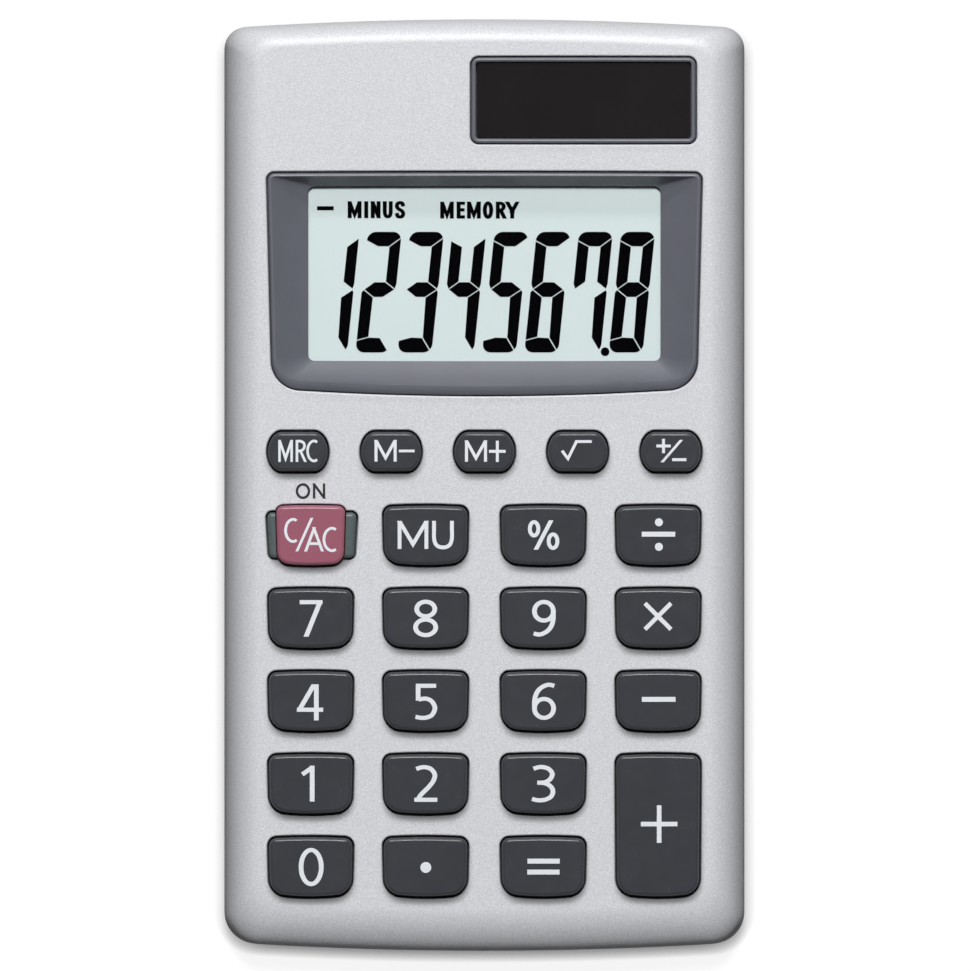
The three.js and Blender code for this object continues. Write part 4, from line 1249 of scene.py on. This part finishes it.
def stroke_mesh(points, ends, pen, bottom, top):
    """A stroke of a pen, as wide as pen[0] where it goes up, and as pen[1] where it goes along.
    A stroke without ends is a ring."""
    closed = ends is None
    count = len(points)
    points = list(points)
    if not closed:
        points[0] = reached(points[0], points[1], ends[0], pen)
        points[-1] = reached(points[-1], points[-2], ends[1], pen)
    sections = []
    for i, (x, y) in enumerate(points):
        before = points[i - 1] if closed or i > 0 else None
        after = points[(i + 1) % count] if closed or i < count - 1 else None
        way, stretch = corner(before, (x, y), after)
        across = (-way[1] * stretch * pen[0] / 2, way[0] * stretch * pen[1] / 2)
        if not (before and after):
            across = cut_across(way, ends[1 if before else 0], across)
        left = (x + across[0], y + across[1])
        right = (x - across[0], y - across[1])
        sections.append([(*left, bottom), (*left, top), (*right, top), (*right, bottom)])
    return swept(sections, closed)


def reached(end, inside, kind, pen):
    """The end of a stroke, moved out by half the pen to the side that it is cut along."""
    if kind == SQUARE:
        return end
    way = way_between(inside, end)
    step = pen[kind] / 2 / abs(way[kind])
    return end[0] + way[0] * step, end[1] + way[1] * step


def cut_across(way, kind, square):
    """Half of the cut across a stroke's end, to its left."""
    if kind == SQUARE:
        return square
    reach = math.hypot(*square) / way[kind]
    return (-reach, 0) if kind == LEVEL else (0, reach)


def character_meshes(entry, bottom, top):
    """The strokes of one character, in the box and with the pen that the photograph shows."""
    name, left, right, lower, upper, pen_pixels = entry
    low = photo_place(left, lower)
    high = photo_place(right, upper)
    pen = [width / PHOTO_SCALE for width in pen_pixels]
    if name == "dot":
        middle = ((low[0] + high[0]) / 2, (low[1] + high[1]) / 2)
        return [cylinder(*middle, (high[0] - low[0]) / 2, bottom, top)]
    wide = high[0] - low[0] - pen[0]
    tall = high[1] - low[1] - pen[1]
    meshes = []
    for stroke in CHARACTERS[name]:
        points = [
            (low[0] + pen[0] / 2 + x * wide, low[1] + pen[1] / 2 + y * tall)
            for x, y in stroke["points"]
        ]
        meshes.append(stroke_mesh(points, stroke["ends"], pen, bottom, top))
    return meshes


def legend_mesh(entries, bottom, top):
    return joined([mesh for entry in entries for mesh in character_meshes(entry, bottom, top)])


def add_legends():
    for key in keys:
        mesh = legend_mesh(KEY_LEGENDS[key.node], key.top - 2 * PRINT_THICKNESS, key.top)
        add_piece(f"{key.node}_legend", mesh, "white_print", BODY_OF_NODE[key.node])
    mesh = legend_mesh(ON_LEGEND, FACE - PRINT_THICKNESS, FACE + PRINT_THICKNESS)
    add_piece("on_legend", mesh, "dark_print")


# The digits of the display: seven segments each, leaning to the right

DIGIT_WIDTH = 3.72
DIGIT_HEIGHT = 13.19
DIGIT_PITCH = 4.623
DIGIT_LEAN = 0.103
DIGIT_CORNER = 1.0
DIGIT_GAP = 0.12
LAST_DIGIT_PIXEL = (608.7, 352.4)
POINT_PIXEL = (605, 351.7)
POINT_RADIUS = 0.47
LIT_SEGMENTS = ["bc", "abged", "abgcd", "fgbc", "afgcd", "afgecd", "fabc", "abcdefg"]
# Corners inside a digit, from its lower left
UPPER_LEFT, UPPER_RIGHT = (1.3, 11.56), (2.48, 11.56)
ABOVE_LEFT, ABOVE_RIGHT = (1.3, 7.73), (2.48, 7.73)
TIP_LEFT, TIP_RIGHT = (0.2, 6.89), (3.62, 6.89)
BELOW_LEFT, BELOW_RIGHT = (1.35, 6.02), (2.38, 6.02)
LOWER_LEFT, LOWER_RIGHT = (1.3, 1.68), (2.53, 1.62)
# Heights of the corners on a digit's sides
SIDE_ABOVE = 7.49
SIDE_BELOW = 6.59
SIDE_LOW = 1.3
# Where the segments part along a digit's rounded corners
TOP_CUT = math.radians(17)
FOOT_CUT = math.radians(-45)


def digit_segments():
    """The outlines of the seven segments of a digit, anticlockwise."""
    edge = DIGIT_GAP / 2
    left, right = -edge, DIGIT_WIDTH + edge
    r = DIGIT_CORNER
    low, high = r - edge, DIGIT_HEIGHT + edge - r
    half = CORNER_STEPS // 2
    top_left = arc(left + r, high, r, QUARTER, 2 * QUARTER, CORNER_STEPS)
    top_right = arc(right - r, high, r, TOP_CUT, QUARTER, CORNER_STEPS)
    upper_side = arc(right - r, high, r, 0, TOP_CUT, SHORT_STEPS)
    lower_side = arc(right - r, low, r, FOOT_CUT, 0, half)
    foot_left = arc(left + r, low, r, 2 * QUARTER, 3 * QUARTER, CORNER_STEPS)
    foot_right = arc(right - r, low, r, -QUARTER, FOOT_CUT, half)
    return {
        "a": [UPPER_LEFT, UPPER_RIGHT, *top_right, *top_left],
        "b": [UPPER_RIGHT, ABOVE_RIGHT, TIP_RIGHT, (right, SIDE_ABOVE), *upper_side],
        "c": [*lower_side, (right, SIDE_BELOW), TIP_RIGHT, BELOW_RIGHT, LOWER_RIGHT],
        "d": [*foot_left, *foot_right, LOWER_RIGHT, LOWER_LEFT, (left, SIDE_LOW)],
        "e": [(left, SIDE_LOW), LOWER_LEFT, BELOW_LEFT, TIP_LEFT, (left, SIDE_BELOW)],
        "f": [(left, SIDE_ABOVE), TIP_LEFT, ABOVE_LEFT, UPPER_LEFT, (left, high)],
        "g": [TIP_LEFT, BELOW_LEFT, BELOW_RIGHT, TIP_RIGHT, ABOVE_RIGHT, ABOVE_LEFT],
    }


def shrunk(outline, distance):
    """An outline moved inward on every side."""
    pairs = zip(outline, outline[1:] + outline[:1])
    points = [point for point, after in pairs if math.dist(point, after) > SAME_PLACE]
    made = []
    for i, (x, y) in enumerate(points):
        way, stretch = corner(points[i - 1], (x, y), points[(i + 1) % len(points)])
        made.append((x - way[1] * stretch * distance, y + way[0] * stretch * distance))
    return made


def add_display_ink():
    film_top = node_box("lcd_front_polariser")[1].z
    window_bottom = node_box("display_window")[0].z
    bottom = film_top - PRINT_THICKNESS
    top = (film_top + window_bottom) / 2
    meshes = []
    last_x, foot = photo_place(*LAST_DIGIT_PIXEL)
    segments = digit_segments()
    for index, lit in enumerate(LIT_SEGMENTS):
        x = last_x - (len(LIT_SEGMENTS) - 1 - index) * DIGIT_PITCH
        for letter in lit:
            outline = shrunk(segments[letter], DIGIT_GAP / 2)
            meshes.append(prism([(x + u + DIGIT_LEAN * v, foot + v) for u, v in outline], bottom, top))
    meshes.append(cylinder(*photo_place(*POINT_PIXEL), POINT_RADIUS, bottom, top))
    meshes += [mesh for entry in DISPLAY_WORDS for mesh in character_meshes(entry, bottom, top)]
    add_piece("display_digits", joined(meshes), "lcd_ink")


# Finishes of the frame's own pieces that stay

def finish_frame_nodes():
    slots = {row["node"]: row["material_slot"] for row in frame["record"]["subparts"]}
    for node, piece in frame["nodes"].items():
        for slot in piece.material_slots:
            slot.material = FINISHES[slots[node]]


# Floor, light and camera

FLOOR_SIZE = 4000
FLOOR_CLEARANCE = 0.02
CAMERA_LENS = 1000
SENSOR = 36
CAMERA_REACH = 10  # in metres
AMBIENT = 0.02
BELOW = 0.8  # hidden by the floor, and lights the back where the floor is taken away
ZENITH = 0.15
# Heights between which the surround changes, as shares of straight up
CEILING_RANGE = (0.05, 0.6)
BELOW_RANGE = (-0.2, 0)
FLOOR_WHITE = 0.16
FLOOR_GLOW = 0.9
# The painted shadow on the floor close to the case: how far it reaches, and the part of its mask that is
# spread out
FLOOR_SHADE_REACH = 1.8
FLOOR_SHADE_RANGE = (0.1, 1)
FLOOR_DIM = 0.01
# Each lamp's distance, its tilt in degrees, its width, its depth and its power in watts
SOFTBOXES = {
    "main": (1600, 27, 400, 320, 23.2),
    "strip": (2000, 60, 1400, 240, 10.4),
    "fill": (2000, -72, 1400, 600, 1.45),
}


def add_floor():
    """White to the camera, with a painted shadow close to the case on top of the real one in its lit
    white, and darker where it lights the case from below.
    """
    material = new_material("white_floor")
    white = add(material, "BsdfDiffuse", {"Color": grey(FLOOR_WHITE)})
    # Painted shadow: the floor's glow is dimmed where the case stands near it on the lamps' side
    free = painted_shade_mask(material, FLOOR_SHADE_REACH)
    strength = spread(material, free, 0, FLOOR_GLOW, *FLOOR_SHADE_RANGE)
    glow = add(material, "Emission", {"Color": grey(1), "Strength": strength})
    lit = add(material, "AddShader", {0: white.outputs[0], 1: glow.outputs[0]})
    dim = add(material, "BsdfDiffuse", {"Color": grey(FLOOR_DIM)})
    finished(material, mix_shaders(material, seen_share(material), dim, lit))
    half = FLOOR_SIZE / 2
    low = -FLOOR_CLEARANCE
    corners = [(-half, -half, low), (half, -half, low), (half, half, low), (-half, half, low)]
    mesh = mesh_of(corners, [(0, 1, 2, 3)])
    mesh.materials.append(material)
    new_object("floor", mesh)


def add_world():
    """A white surround for what the camera and the glossy pieces see, and a dim one for the rest."""
    world = bpy.data.worlds.new("studio")
    bpy.context.scene.world = world
    world.use_nodes = True
    world.node_tree.nodes.clear()
    way = add(world, "TexCoord").outputs["Generated"]
    height = add(world, "SeparateXYZ", {0: way}).outputs["Z"]
    ceiling = spread(world, height, 1, ZENITH, *CEILING_RANGE)
    white = add(world, "Background", {"Color": grey(1), "Strength": ceiling})
    light_below = spread(world, height, BELOW, AMBIENT, *BELOW_RANGE)
    dim = add(world, "Background", {"Color": grey(1), "Strength": light_below})
    mixed = mix_shaders(world, seen_share(world), dim, white)
    add(world, "OutputWorld", {"Surface": mixed.outputs[0]})


def add_softboxes():
    """Soft lamps that face the calculator, each tilted from overhead towards the display end."""
    for name, (distance, degrees, wide, deep, power) in SOFTBOXES.items():
        light = bpy.data.lights.new(name, "AREA")
        light.shape = "RECTANGLE"
        light.size = wide * MM
        light.size_y = deep * MM
        light.energy = power
        lamp = new_object(name, light)
        tilt = math.radians(degrees)
        way = Vector((0, math.sin(tilt), math.cos(tilt)))
        lamp.location = way * distance * MM
        lamp.rotation_euler = way.to_track_quat("Z", "Y").to_euler()


def add_camera():
    """Straight above, through a long lens, framed as the photograph is."""
    camera = bpy.data.cameras.new("camera")
    camera.lens = CAMERA_LENS
    camera.sensor_width = SENSOR
    camera.sensor_fit = "HORIZONTAL"
    camera.clip_end = CAMERA_REACH
    holder = new_object("camera", camera)
    x, y = photo_place(PHOTO_SIZE[0] / 2, PHOTO_SIZE[1] / 2)
    distance = CAMERA_LENS * PHOTO_SIZE[0] / PHOTO_SCALE / SENSOR
    holder.location = (x * MM, y * MM, (distance + FACE / 2) * MM)
    bpy.context.scene.camera = holder


add_camera()
add_front_case()
add_rear_cover()
add_screws()
add_keys()
add_guard()
add_keypad()
add_bezel()
add_solar_frame()
add_solar_window()
add_legends()
add_display_ink()
finish_frame_nodes()
add_floor()
add_world()
add_softboxes()
bpy.context.scene.view_settings.view_transform = "Standard"
